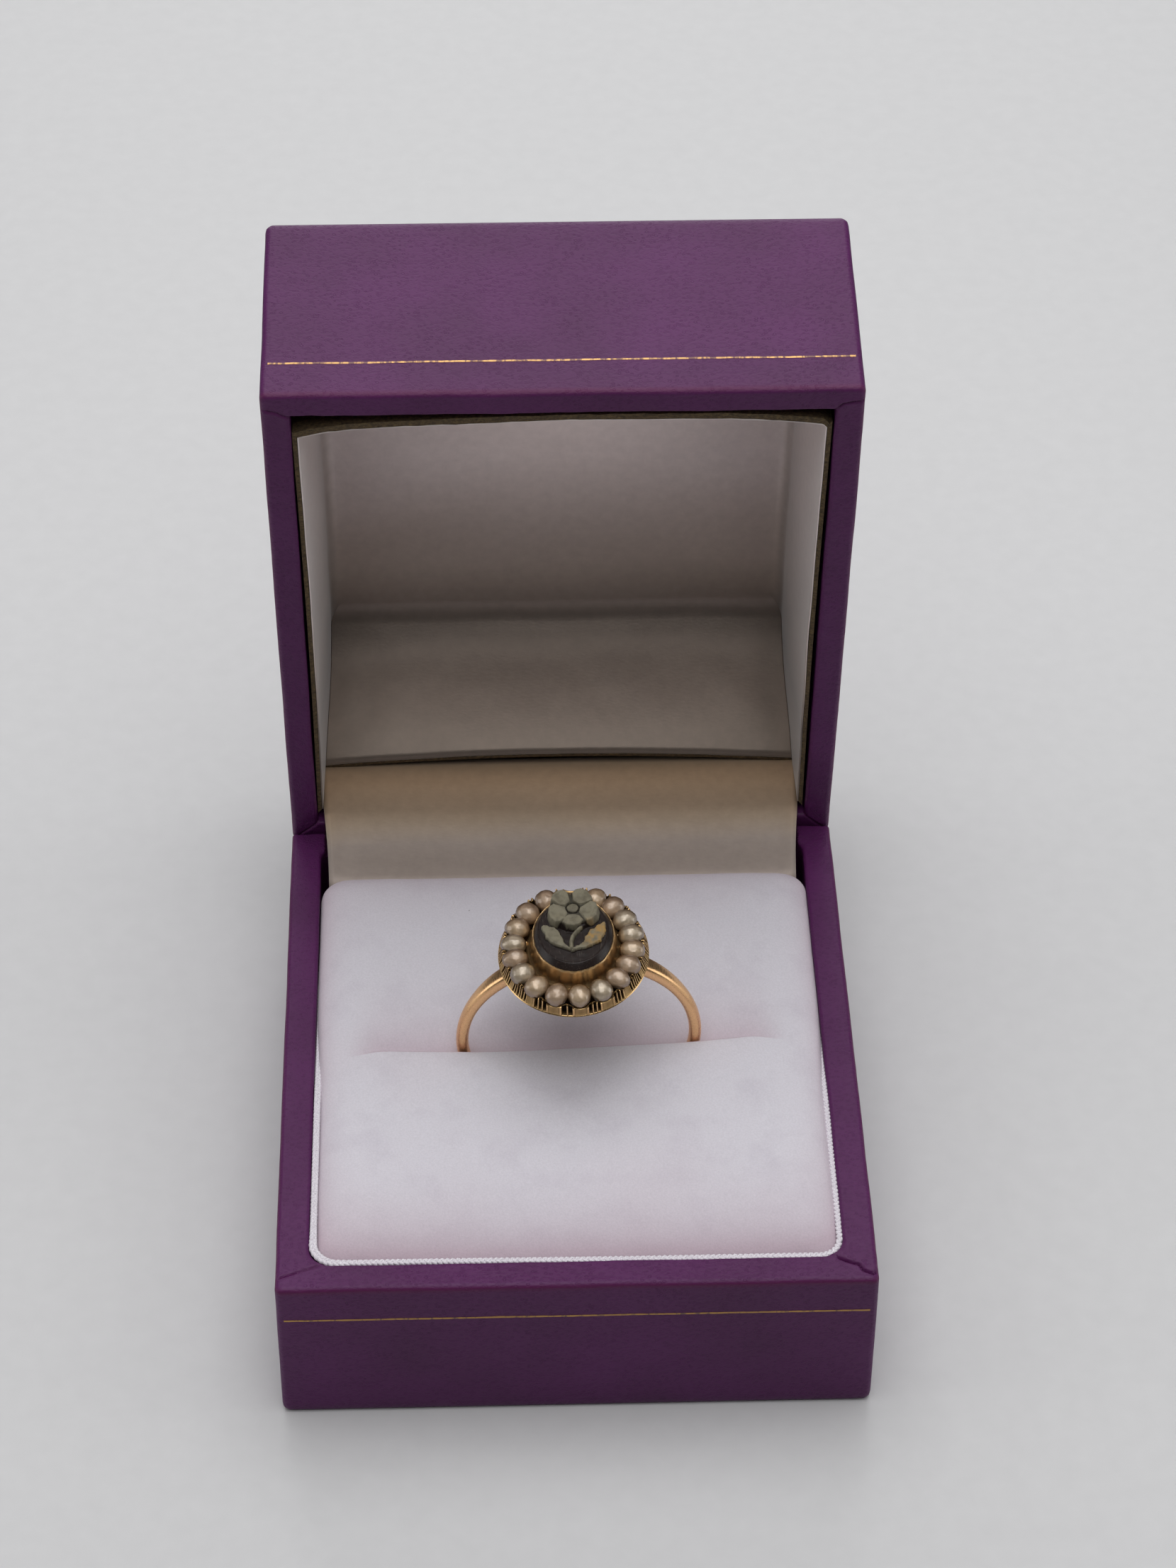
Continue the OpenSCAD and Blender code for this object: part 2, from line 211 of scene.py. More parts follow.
def makeLeatherette():
    # Leatherette: embossed, coated bookcloth glued over card. Satin gloss, a fine grain that runs along the
    # box with small round pores in it, and a redder tone where it's pulled round an edge. Grain and pores
    # have their real size.
    leather = {
        "face": "#571c57", "shade": "#4d184c", "valley": "#290928", "edge": "#581446",
        "grainMm": 0.24, "poreMm": 0.48, "patchMm": 2.5, "mottleMm": 9.0,
    }
    material, tree, place = newMaterial("leatherette")
    mottle = addNode(tree, "TexNoise", {"Scale": perMm(leather["mottleMm"]), "Detail": 3.0}, {"Vector": place})
    lengthwise = addNode(tree, "Mapping", {"Scale": (0.62, 1.0, 1.0), "Rotation": (0.0, 0.04, 0.06)},
                         {"Vector": place})
    grain = addNode(tree, "TexNoise",
                    {"Scale": perMm(leather["grainMm"]), "Detail": 2.5, "Roughness": 0.55, "Distortion": 0.4},
                    {"Vector": lengthwise.outputs["Vector"]})
    valley = addNode(tree, "MapRange", {"interpolation_type": "SMOOTHSTEP", 1: 0.55, 2: 0.35, 3: 0.0, 4: 0.65},
                     {0: grain.outputs["Fac"]})
    cells = addNode(tree, "TexVoronoi", {"feature": "F1", "Scale": perMm(leather["poreMm"])}, {"Vector": place})
    ringOff = addNode(tree, "Math", {"operation": "SUBTRACT", 1: 0.25}, {0: cells.outputs["Distance"]})
    ringFar = addNode(tree, "Math", {"operation": "ABSOLUTE"}, {0: ringOff.outputs["Value"]})
    ring = addNode(tree, "MapRange", {"interpolation_type": "SMOOTHSTEP", 1: 0.13, 2: 0.03, 3: 0.0, 4: 1.0},
                   {0: ringFar.outputs["Value"]})
    patch = addNode(tree, "TexNoise", {"Scale": perMm(leather["patchMm"]), "Detail": 1.0}, {"Vector": place})
    where = addNode(tree, "MapRange", {1: 0.36, 2: 0.58, 3: 0.5, 4: 1.0}, {0: patch.outputs["Fac"]})
    dimple = addNode(tree, "Math", {"operation": "MULTIPLY"},
                     {0: ring.outputs["Result"], 1: where.outputs["Result"]})
    tone = addNode(tree, "ValToRGB",
                   {"stops": [(0.3, linear(leather["shade"])), (0.7, linear(leather["face"]))]},
                   {"Fac": mottle.outputs["Fac"]})
    relief = addNode(tree, "Math", {"operation": "MAXIMUM"},
                     {0: valley.outputs["Result"], 1: dimple.outputs["Value"]})
    sunkShare = addNode(tree, "Math", {"operation": "MULTIPLY", 1: 0.2}, {0: relief.outputs["Value"]})
    sunk = addNode(tree, "Mix", {"data_type": "RGBA", 7: linear(leather["valley"])},
                   {0: sunkShare.outputs["Value"], 6: tone.outputs["Color"]})
    fold = addNode(tree, "Attribute", {"attribute_name": "fold"})
    foldShare = addNode(tree, "Math", {"operation": "MULTIPLY", 1: 0.8}, {0: fold.outputs["Fac"]})
    colour = addNode(tree, "Mix", {"data_type": "RGBA", 7: linear(leather["edge"])},
                     {0: foldShare.outputs["Value"], 6: sunk.outputs[2]})
    gloss = addNode(tree, "MapRange", {1: 0.0, 2: 1.0, 3: 0.5, 4: 0.62}, {0: relief.outputs["Value"]})
    bump = addNode(tree, "Bump", {"Strength": 0.55, "Distance": 0.035 * mm, "invert": True},
                   {"Height": relief.outputs["Value"]})
    surface = addNode(tree, "BsdfPrincipled", {"Specular IOR Level": 0.33},
                      {"Base Color": colour.outputs[2], "Roughness": gloss.outputs["Result"],
                       "Normal": bump.outputs["Normal"]})
    addNode(tree, "OutputMaterial", {}, {"Surface": surface.outputs["BSDF"]})
    return material


def makeVelvet():
    # Cotton velvet: short upright pile. Soft rim of light, mottled where the pile leans, specks of dust.
    # The pile is drawn in tufts, because single fibres are too fine to show.
    velvet = {
        "pile": "#dbd8e0", "leaning": "#d3cfd8", "warm": "#d8d0d8", "pressed": "#c0a8b4", "dust": "#4b4047",
        "sheen": "#f4eff6", "fibreMm": 0.16, "mottleMm": 3.0, "dustMm": 6.0, "blushMm": 14.0,
    }
    material, tree, place = newMaterial("velvet")
    fibre = addNode(tree, "TexNoise", {"Scale": perMm(velvet["fibreMm"]), "Detail": 3.0, "Roughness": 0.7},
                    {"Vector": place})
    mottle = addNode(tree, "TexNoise", {"Scale": perMm(velvet["mottleMm"]), "Detail": 4.0, "Roughness": 0.55},
                     {"Vector": place})
    blush = addNode(tree, "TexNoise", {"Scale": perMm(velvet["blushMm"]), "Detail": 1.0}, {"Vector": place})
    tone = addNode(tree, "ValToRGB",
                   {"stops": [(0.25, linear(velvet["leaning"])), (0.52, linear(velvet["pile"]))]},
                   {"Fac": mottle.outputs["Fac"]})
    blushShare = addNode(tree, "MapRange", {1: 0.45, 2: 0.7, 3: 0.0, 4: 0.4}, {0: blush.outputs["Fac"]})
    warm = addNode(tree, "Mix", {"data_type": "RGBA", 7: linear(velvet["warm"])},
                   {0: blushShare.outputs["Result"], 6: tone.outputs["Color"]})
    # painted shade: the pad's edges, front, skirt and slit are mixed towards a darker pink, for shade and reflected
    # light
    pressed = addNode(tree, "Attribute", {"attribute_name": "pressed"})
    paintedShadeShare = addNode(tree, "Math", {"operation": "MULTIPLY", 1: 0.75}, {0: pressed.outputs["Fac"]})
    worn = addNode(tree, "Mix", {"data_type": "RGBA", 7: linear(velvet["pressed"])},
                   {0: paintedShadeShare.outputs["Value"], 6: warm.outputs[2]})
    cells = addNode(tree, "TexVoronoi", {"feature": "F1", "Scale": perMm(velvet["dustMm"])}, {"Vector": place})
    dustShare = addNode(tree, "MapRange", {1: 0.022, 2: 0.012, 3: 0.0, 4: 0.8}, {0: cells.outputs["Distance"]})
    dusty = addNode(tree, "Mix", {"data_type": "RGBA", 7: linear(velvet["dust"])},
                    {0: dustShare.outputs["Result"], 6: worn.outputs[2]})
    fine = addNode(tree, "MapRange", {1: 0.3, 2: 0.7, 3: 0.93, 4: 1.05}, {0: fibre.outputs["Fac"]})
    colour = addNode(tree, "VectorMath", {"operation": "SCALE"},
                     {0: dusty.outputs[2], "Scale": fine.outputs["Result"]})
    bump = addNode(tree, "Bump", {"Strength": 0.55, "Distance": 0.05 * mm}, {"Height": fibre.outputs["Fac"]})
    lean = addNode(tree, "Bump", {"Strength": 0.35, "Distance": 0.2 * mm},
                   {"Height": mottle.outputs["Fac"], "Normal": bump.outputs["Normal"]})
    surface = addNode(tree, "BsdfPrincipled",
                      {"Roughness": 0.95, "Specular IOR Level": 0.15,
                       "Sheen Weight": 0.35, "Sheen Roughness": 0.45, "Sheen Tint": linear(velvet["sheen"])},
                      {"Base Color": colour.outputs["Vector"], "Normal": lean.outputs["Normal"]})
    addNode(tree, "OutputMaterial", {}, {"Surface": surface.outputs["BSDF"]})
    return material


def makeBraidSilk():
    # Viscose braid: bright twisted filaments. Small glints on each ply, a little grey in the hollows.
    # The filaments are drawn about four times as coarse as real ones, so that they show.
    silk = {"light": "#f1edf3", "dull": "#ccc4ce", "filamentMm": 0.09}
    material, tree, place = newMaterial("viscose_braid")
    filament = addNode(tree, "TexNoise", {"Scale": perMm(silk["filamentMm"]), "Detail": 2.0}, {"Vector": place})
    colour = addNode(tree, "ValToRGB",
                     {"stops": [(0.3, linear(silk["dull"])), (0.62, linear(silk["light"]))]},
                     {"Fac": filament.outputs["Fac"]})
    bump = addNode(tree, "Bump", {"Strength": 0.6, "Distance": 0.03 * mm}, {"Height": filament.outputs["Fac"]})
    surface = addNode(tree, "BsdfPrincipled", {"Roughness": 0.36, "Sheen Weight": 0.25, "Sheen Roughness": 0.4},
                      {"Base Color": colour.outputs["Color"], "Normal": bump.outputs["Normal"]})
    addNode(tree, "OutputMaterial", {}, {"Surface": surface.outputs["BSDF"]})
    return material


def makeSatin(name, tones, metal, gloss):
    # Rayon satin on a thin backing: smooth floats with a fine weft line.
    # The weft is drawn about twice as coarse as it is, so that it shows. Tones go by height in millimetres;
    # on the lining they are painted light and shade, darkest a little above the hinge and brightest high up.
    satin = {"weftMm": 0.2, "slubMm": 0.9}
    material, tree, place = newMaterial(name)
    split = addNode(tree, "SeparateXYZ", {}, {0: place})
    low, high = tones[0][0], tones[-1][0]
    heightShare = addNode(tree, "MapRange", {1: low * mm, 2: high * mm, 3: 0.0, 4: 1.0}, {0: split.outputs["Z"]})
    streak = addNode(tree, "Mapping", {"Scale": (0.45, 1.0, 1.0)}, {"Vector": place})
    weft = addNode(tree, "TexNoise", {"Scale": perMm(satin["weftMm"]), "Detail": 3.0},
                   {"Vector": streak.outputs["Vector"]})
    slub = addNode(tree, "TexNoise", {"Scale": perMm(satin["slubMm"]), "Detail": 3.0, "Roughness": 0.6},
                   {"Vector": place})
    stops = [((height - low) / (high - low), linear(code)) for height, code in tones]
    tone = addNode(tree, "ValToRGB", {"stops": stops}, {"Fac": heightShare.outputs["Result"]})
    patchy = addNode(tree, "MapRange", {1: 0.3, 2: 0.7, 3: 0.94, 4: 1.05}, {0: slub.outputs["Fac"]})
    # painted highlight: the clean mark brightens the colour where the satin's sheen and reflected light fall
    clean = addNode(tree, "Attribute", {"attribute_name": "clean"})
    bright = addNode(tree, "Math", {"operation": "MULTIPLY_ADD", 1: 0.45},
                     {0: clean.outputs["Fac"], 2: patchy.outputs["Result"]})
    colour = addNode(tree, "VectorMath", {"operation": "SCALE"},
                     {0: tone.outputs["Color"], "Scale": bright.outputs["Value"]})
    bump = addNode(tree, "Bump", {"Strength": 0.4, "Distance": 0.02 * mm}, {"Height": weft.outputs["Fac"]})
    surface = addNode(tree, "BsdfPrincipled",
                      {"Roughness": gloss, "Metallic": metal, "Sheen Weight": 0.5, "Sheen Roughness": 0.5},
                      {"Base Color": colour.outputs["Vector"], "Normal": bump.outputs["Normal"]})
    addNode(tree, "OutputMaterial", {}, {"Surface": surface.outputs["BSDF"]})
    return material


def makeStrawboard():
    # Strawboard cut with a knife: brown pulp with paler straw fibres and dark gaps between its layers.
    board = {"pulp": "#54452f", "straw": "#75623f", "gap": "#342919", "layerMm": 0.2}
    material, tree, place = newMaterial("strawboard")
    streak = addNode(tree, "Mapping", {"Scale": (0.6, 1.0, 1.0)}, {"Vector": place})
    layer = addNode(tree, "TexNoise", {"Scale": perMm(board["layerMm"]), "Detail": 4.0, "Roughness": 0.7},
                    {"Vector": streak.outputs["Vector"]})
    stops = [(0.3, linear(board["gap"])), (0.5, linear(board["pulp"])), (0.72, linear(board["straw"]))]
    colour = addNode(tree, "ValToRGB", {"stops": stops}, {"Fac": layer.outputs["Fac"]})
    bump = addNode(tree, "Bump", {"Strength": 0.8, "Distance": 0.06 * mm}, {"Height": layer.outputs["Fac"]})
    surface = addNode(tree, "BsdfPrincipled", {"Roughness": 0.92},
                      {"Base Color": colour.outputs["Color"], "Normal": bump.outputs["Normal"]})
    addNode(tree, "OutputMaterial", {}, {"Surface": surface.outputs["BSDF"]})
    return material


def makeGold(name, colour, dark, roughLow, roughHigh, grimeAndShadeShare):
    # Gold alloy, hand finished: warm reflections, hairline scratches, hollows painted dark: old polish and painted
    # shade.
    # The scratches are drawn wider than hairlines, so that they show. The hinge's brass has the same finish.
    gold = {"scratchMm": 0.12, "softMm": 0.8}
    material, tree, place = newMaterial(name)
    streak = addNode(tree, "Mapping", {"Scale": (1.0, 0.14, 1.0), "Rotation": (0.5, 0.3, 0.7)}, {"Vector": place})
    scratch = addNode(tree, "TexNoise", {"Scale": perMm(gold["scratchMm"]), "Detail": 3.0},
                      {"Vector": streak.outputs["Vector"]})
    soft = addNode(tree, "TexNoise", {"Scale": perMm(gold["softMm"]), "Detail": 2.0}, {"Vector": place})
    hair = addNode(tree, "MapRange", {1: 0.35, 2: 0.65, 3: roughLow, 4: roughHigh}, {0: scratch.outputs["Fac"]})
    # painted shade: where nearby metal hides the light the colour goes dark, as it does by the dirt marks
    hollow = addNode(tree, "AmbientOcclusion", {"samples": 6, "Distance": 0.35 * mm})
    shade = addNode(tree, "MapRange", {1: 0.75, 2: 0.3, 3: 0.0, 4: grimeAndShadeShare}, {0: hollow.outputs["AO"]})
    dirt = addNode(tree, "Attribute", {"attribute_name": "dirt"})
    dull = addNode(tree, "Math", {"operation": "MAXIMUM"}, {0: shade.outputs["Result"], 1: dirt.outputs["Fac"]})
    tint = addNode(tree, "Mix", {"data_type": "RGBA", 6: linear(colour), 7: linear(dark)},
                   {0: dull.outputs["Value"]})
    gloss = addNode(tree, "Math", {"operation": "MULTIPLY_ADD", 1: 0.45},
                    {0: dull.outputs["Value"], 2: hair.outputs["Result"]})
    bump = addNode(tree, "Bump", {"Strength": 0.2, "Distance": 0.006 * mm}, {"Height": scratch.outputs["Fac"]})
    dent = addNode(tree, "Bump", {"Strength": 0.3, "Distance": 0.05 * mm},
                   {"Height": soft.outputs["Fac"], "Normal": bump.outputs["Normal"]})
    surface = addNode(tree, "BsdfPrincipled", {"Metallic": 1.0},
                      {"Base Color": tint.outputs[2], "Roughness": gloss.outputs["Value"],
                       "Normal": dent.outputs["Normal"]})
    addNode(tree, "OutputMaterial", {}, {"Surface": surface.outputs["BSDF"]})
    return material


def makeFoil(name, bright, worn, wear):
    # Gold blocking foil, hot pressed on the leatherette: thin bright metal, rubbed away in short breaks.
    foil = {"rubMm": 0.4, "soft": 0.13}
    material, tree, place = newMaterial(name)
    along = addNode(tree, "Mapping", {"Scale": (1.0, 0.3, 0.3)}, {"Vector": place})
    rub = addNode(tree, "TexNoise", {"Scale": perMm(foil["rubMm"]), "Detail": 4.0, "Roughness": 0.65},
                  {"Vector": along.outputs["Vector"]})
    share = addNode(tree, "MapRange", {1: wear, 2: wear + foil["soft"], 3: 0.0, 4: 1.0}, {0: rub.outputs["Fac"]})
    tint = addNode(tree, "Mix", {"data_type": "RGBA", 6: linear(worn), 7: linear(bright)},
                   {0: share.outputs["Result"]})
    metal = addNode(tree, "Math", {"operation": "MULTIPLY", 1: 0.85}, {0: share.outputs["Result"]})
    surface = addNode(tree, "BsdfPrincipled", {"Roughness": 0.42},
                      {"Base Color": tint.outputs[2], "Metallic": metal.outputs["Value"]})
    addNode(tree, "OutputMaterial", {}, {"Surface": surface.outputs["BSDF"]})
    return material


def makePearl(name, core, rim, gloss):
    # Split river pearl: nacre over a creamy body. Lustre is a broad soft highlight;
    # the darker, browner edge is painted shade and painted reflection of the gold.
    pearl = {"growthMm": 0.5, "skinMm": 0.12}
    material, tree, place = newMaterial(name)
    growth = addNode(tree, "TexNoise", {"Scale": perMm(pearl["growthMm"]), "Detail": 3.0, "Roughness": 0.5},
                     {"Vector": place})
    skin = addNode(tree, "TexNoise", {"Scale": perMm(pearl["skinMm"]), "Detail": 2.0}, {"Vector": place})
    # painted shade: towards the outline as seen, the colour turns to the darker rim colour
    facing = addNode(tree, "LayerWeight", {"Blend": 0.4})
    edge = addNode(tree, "MapRange", {1: 0.0, 2: 0.62, 3: 0.0, 4: 1.0}, {0: facing.outputs["Facing"]})
    body = addNode(tree, "Mix", {"data_type": "RGBA", 6: linear(core), 7: linear(rim)}, {0: edge.outputs["Result"]})
    cloud = addNode(tree, "MapRange", {1: 0.3, 2: 0.7, 3: 0.84, 4: 1.1}, {0: growth.outputs["Fac"]})
    colour = addNode(tree, "VectorMath", {"operation": "SCALE"},
                     {0: body.outputs[2], "Scale": cloud.outputs["Result"]})
    bump = addNode(tree, "Bump", {"Strength": 0.45, "Distance": 0.06 * mm}, {"Height": growth.outputs["Fac"]})
    fine = addNode(tree, "Bump", {"Strength": 0.35, "Distance": 0.015 * mm},
                   {"Height": skin.outputs["Fac"], "Normal": bump.outputs["Normal"]})
    surface = addNode(tree, "BsdfPrincipled",
                      {"Roughness": gloss, "IOR": 1.58, "Metallic": 0.3, "Specular IOR Level": 0.7,
                       "Coat Weight": 1.0, "Coat Roughness": 0.13},
                      {"Base Color": colour.outputs["Vector"], "Normal": fine.outputs["Normal"]})
    addNode(tree, "OutputMaterial", {}, {"Surface": surface.outputs["BSDF"]})
    return material


def makeHardstone():
    # Layered hardstone: a black layer, polished, under a chalky grey-green one that was cut away by hand.
    stone = {
        "ground": "#1a1413", "groundWarm": "#2b211e", "relief": "#7f7966", "reliefDark": "#635d4e",
        "scuff": "#6b6158", "stain": "#a07f4b", "groove": "#2b2822",
        "chipMm": 0.12, "cloudMm": 0.6, "scratchMm": 0.1,
    }
    material, tree, place = newMaterial("layered_hardstone")
    relief = addNode(tree, "Attribute", {"attribute_name": "relief"})
    stain = addNode(tree, "Attribute", {"attribute_name": "stain"})
    hollow = addNode(tree, "Attribute", {"attribute_name": "hollow"})
    chip = addNode(tree, "TexNoise", {"Scale": perMm(stone["chipMm"]), "Detail": 4.0, "Roughness": 0.7},
                   {"Vector": place})
    cloud = addNode(tree, "TexNoise", {"Scale": perMm(stone["cloudMm"]), "Detail": 3.0}, {"Vector": place})
    chalk = addNode(tree, "ValToRGB",
                    {"stops": [(0.25, linear(stone["reliefDark"])), (0.6, linear(stone["relief"]))]},
                    {"Fac": cloud.outputs["Fac"]})
    stainShare = addNode(tree, "Math", {"operation": "MULTIPLY"}, {0: stain.outputs["Fac"], 1: chip.outputs["Fac"]})
    stained = addNode(tree, "Mix", {"data_type": "RGBA", 7: linear(stone["stain"])},
                      {0: stainShare.outputs["Value"], 6: chalk.outputs["Color"]})
    sunk = addNode(tree, "Mix", {"data_type": "RGBA", 7: linear(stone["groove"])},
                   {0: hollow.outputs["Fac"], 6: stained.outputs[2]})
    ground = addNode(tree, "Mix",
                     {"data_type": "RGBA", 6: linear(stone["ground"]), 7: linear(stone["groundWarm"])},
                     {0: cloud.outputs["Fac"]})
    line = addNode(tree, "Mapping", {"Scale": (1.0, 0.12, 1.0), "Rotation": (0.0, 0.0, 0.6)}, {"Vector": place})
    scratch = addNode(tree, "TexNoise", {"Scale": perMm(stone["scratchMm"]), "Detail": 2.0},
                      {"Vector": line.outputs["Vector"]})
    scuffShare = addNode(tree, "MapRange", {1: 0.6, 2: 0.72, 3: 0.0, 4: 0.3}, {0: scratch.outputs["Fac"]})
    scuffed = addNode(tree, "Mix", {"data_type": "RGBA", 7: linear(stone["scuff"])},
                      {0: scuffShare.outputs["Result"], 6: ground.outputs[2]})
    colour = addNode(tree, "Mix", {"data_type": "RGBA"},
                     {0: relief.outputs["Fac"], 6: scuffed.outputs[2], 7: sunk.outputs[2]})
    gloss = addNode(tree, "MapRange", {1: 0.0, 2: 1.0, 3: 0.32, 4: 0.6}, {0: relief.outputs["Fac"]})
    bump = addNode(tree, "Bump", {"Strength": 0.3, "Distance": 0.02 * mm}, {"Height": chip.outputs["Fac"]})
    surface = addNode(tree, "BsdfPrincipled", {"IOR": 1.54, "Specular IOR Level": 0.24},
                      {"Base Color": colour.outputs[2], "Roughness": gloss.outputs["Result"],
                       "Normal": bump.outputs["Normal"]})
    addNode(tree, "OutputMaterial", {}, {"Surface": surface.outputs["BSDF"]})
    return material


leatherette = makeLeatherette()
velvet = makeVelvet()
braidSilk = makeBraidSilk()
# lining tones by height: painted light and shade of the lid's inside
liningSatin = makeSatin("lining_satin", [(18.0, "#82766b"), (23.0, "#786b61"), (26.6, "#6b6057"), (31.2, "#a1948a"),
                                         (34.0, "#b9ada4"), (47.0, "#d6ccc8")], 0.5, 0.42)
hingeSatin = makeSatin("hinge_satin", [(15.9, "#a1948b"), (16.8, "#ab9883"), (18.0, "#bea182")], 0.3, 0.52)
strawboard = makeStrawboard()
ringGold = makeGold("rose_gold_polished", "#efc08d", "#5a3a1c", 0.26, 0.34, 0.2)
mountGold = makeGold("gold_chased", "#dcb780", "#140b05", 0.17, 0.32, 0.9)
bezelGold = makeGold("gold_burnished", "#dfbc8a", "#3a2614", 0.3, 0.44, 0.35)
hingeBrass = makeGold("brass_plated_steel", "#c5a35f", "#3b2d18", 0.28, 0.42, 0.6)
lidFoil = makeFoil("foil_bright", "#dcae72", "#7d5550", 0.42)
baseFoil = makeFoil("foil_dull", "#b18a56", "#6b4d40", 0.36)
hardstone = makeHardstone()
print("materials done")


# closed: where the two rims meet when the box is shut. creases: folds of the covering at its corners
tray = {
    "height": 15.06, "closed": 15.185, "wall": 2.65, "floor": 1.6,
    "cornerRound": 0.55, "innerRound": 1.9, "rimRound": 0.42, "rimInside": 0.3,
    "hingeStep": 26.1, "stepHeight": 13.88, "grooveHalf": 21.0, "grooveFrom": 23.5, "grooveHeight": 14.1,
    "creases": [
        {"path": [(-23.75, -26.1), (-22.17, -25.44), (-21.31, -25.14), (-20.6, -24.8)],
         "groove": 0.16, "lip": 0.07, "side": 1},
        {"path": [(20.9, -25.0), (21.79, -25.5), (22.54, -25.75), (22.8, -26.35), (23.5, -26.72), (24.0, -26.3)],
         "groove": 0.3, "lip": 0.22, "side": 1},
    ],
}
lid = {
    "height": 20.6, "closed": 20.685, "wall": 2.3, "floor": 2.3,
    "cornerRound": 0.55, "innerRound": 0.2, "rimRound": 0.42, "rimInside": 0.3,
    "hingeStep": None, "stepHeight": None, "grooveHalf": 21.0, "grooveFrom": 23.9, "grooveHeight": 19.6,
    "creases": [
        {"path": [(-23.6, -25.8), (-22.7, -25.54), (-22.33, -25.28), (-21.6, -24.9)],
         "groove": 0.14, "lip": 0.06, "side": 1},
        {"path": [(21.7, -25.2), (22.24, -25.77), (23.06, -25.99), (23.9, -26.04)],
         "groove": 0.16, "lip": 0.08, "side": -1},
        {"path": [(-23.9, 27.3), (-21.7, 25.1)], "groove": 0.12, "lip": 0.05, "side": 1},
        {"path": [(23.9, 27.3), (21.7, 25.1)], "groove": 0.12, "lip": 0.05, "side": 1},
    ],
}

# inset from the sides and height, from the middle of the floor's underside to the foot of the walls
shellFoot = [(14.0, 0.12), (6.0, 0.1), (2.2, 0.06), (1.0, 0.0), (0.5, 0.03), (0.18, 0.2), (0.04, 0.5)]
handwork = {"wave": 0.05, "waveSize": 6.0, "pucker": 0.035, "puckerSize": 1.1}  # card covered by hand
nearCorner = np.arange(0, 3.25, 0.1)  # columns set close together beside a corner, in millimetres
betweenCorners = np.linspace(0, 1, 58)[1:-1]


def sideDistances(length):
    pack = min(1.0, length / (2.5 * nearCorner[-1]))
    head = nearCorner * pack
    middle = head[-1] + betweenCorners * (length - 2 * head[-1])
    return np.concatenate([head, middle, (length - head)[::-1][:-1]])


def roundedOutline(inset, shape):
    # points round the box at one inset from its sides, starting at the front left corner
    w, d = box["halfWidth"] - inset, box["halfDepth"] - inset
    corners = np.array([(-w, -d), (w, -d), (w, d), (-w, d)])
    r = shape["cornerRound"] - 0.15 * min(inset, shape["wall"])
    r += (shape["innerRound"] - r) * float(smooth(inset, shape["wall"] - 0.7, shape["wall"]))
    points = []
    for k in range(4):
        start, end = corners[k], corners[(k + 1) % 4]
        length = np.linalg.norm(end - start)
        along = (end - start) / length
        out = np.array([along[1], -along[0]])
        for t in sideDistances(length):
            near = min(t, length - t)
            if near >= r:
                points.append(start + along * t)
                continue
            sign = 1 if t < length / 2 else -1
            pivot = (start if sign > 0 else end) + sign * along * r - out * r
            angle = math.radians(45 * (1 - near / r))
            points.append(pivot + r * (out * math.cos(angle) - sign * along * math.sin(angle)))
    return np.array(points)


def creaseHeights(places, crease):
    # how far a folded corner of the covering lifts or sinks the rim, and how close each place is to it
    best = np.full(len(places), farOff)
    sided = np.zeros(len(places))
    path = [np.array(p, float) for p in crease["path"]]
    for a, b in zip(path, path[1:]):
        run = b - a
        t = np.clip(((places - a) @ run) / (run @ run), 0, 1)
        away = places - (a + t[:, None] * run)
        length = np.linalg.norm(away, axis=1)
        cross = np.sign(run[0] * away[:, 1] - run[1] * away[:, 0])
        closer = length < best
        best[closer], sided[closer] = length[closer], cross[closer]
    lift = crease["lip"] * np.exp(-best / 0.45) * (sided * crease["side"] > 0)
    sink = crease["groove"] * np.exp(-(best / 0.10) ** 2)
    return lift - sink, np.exp(-(best / 0.16) ** 2)


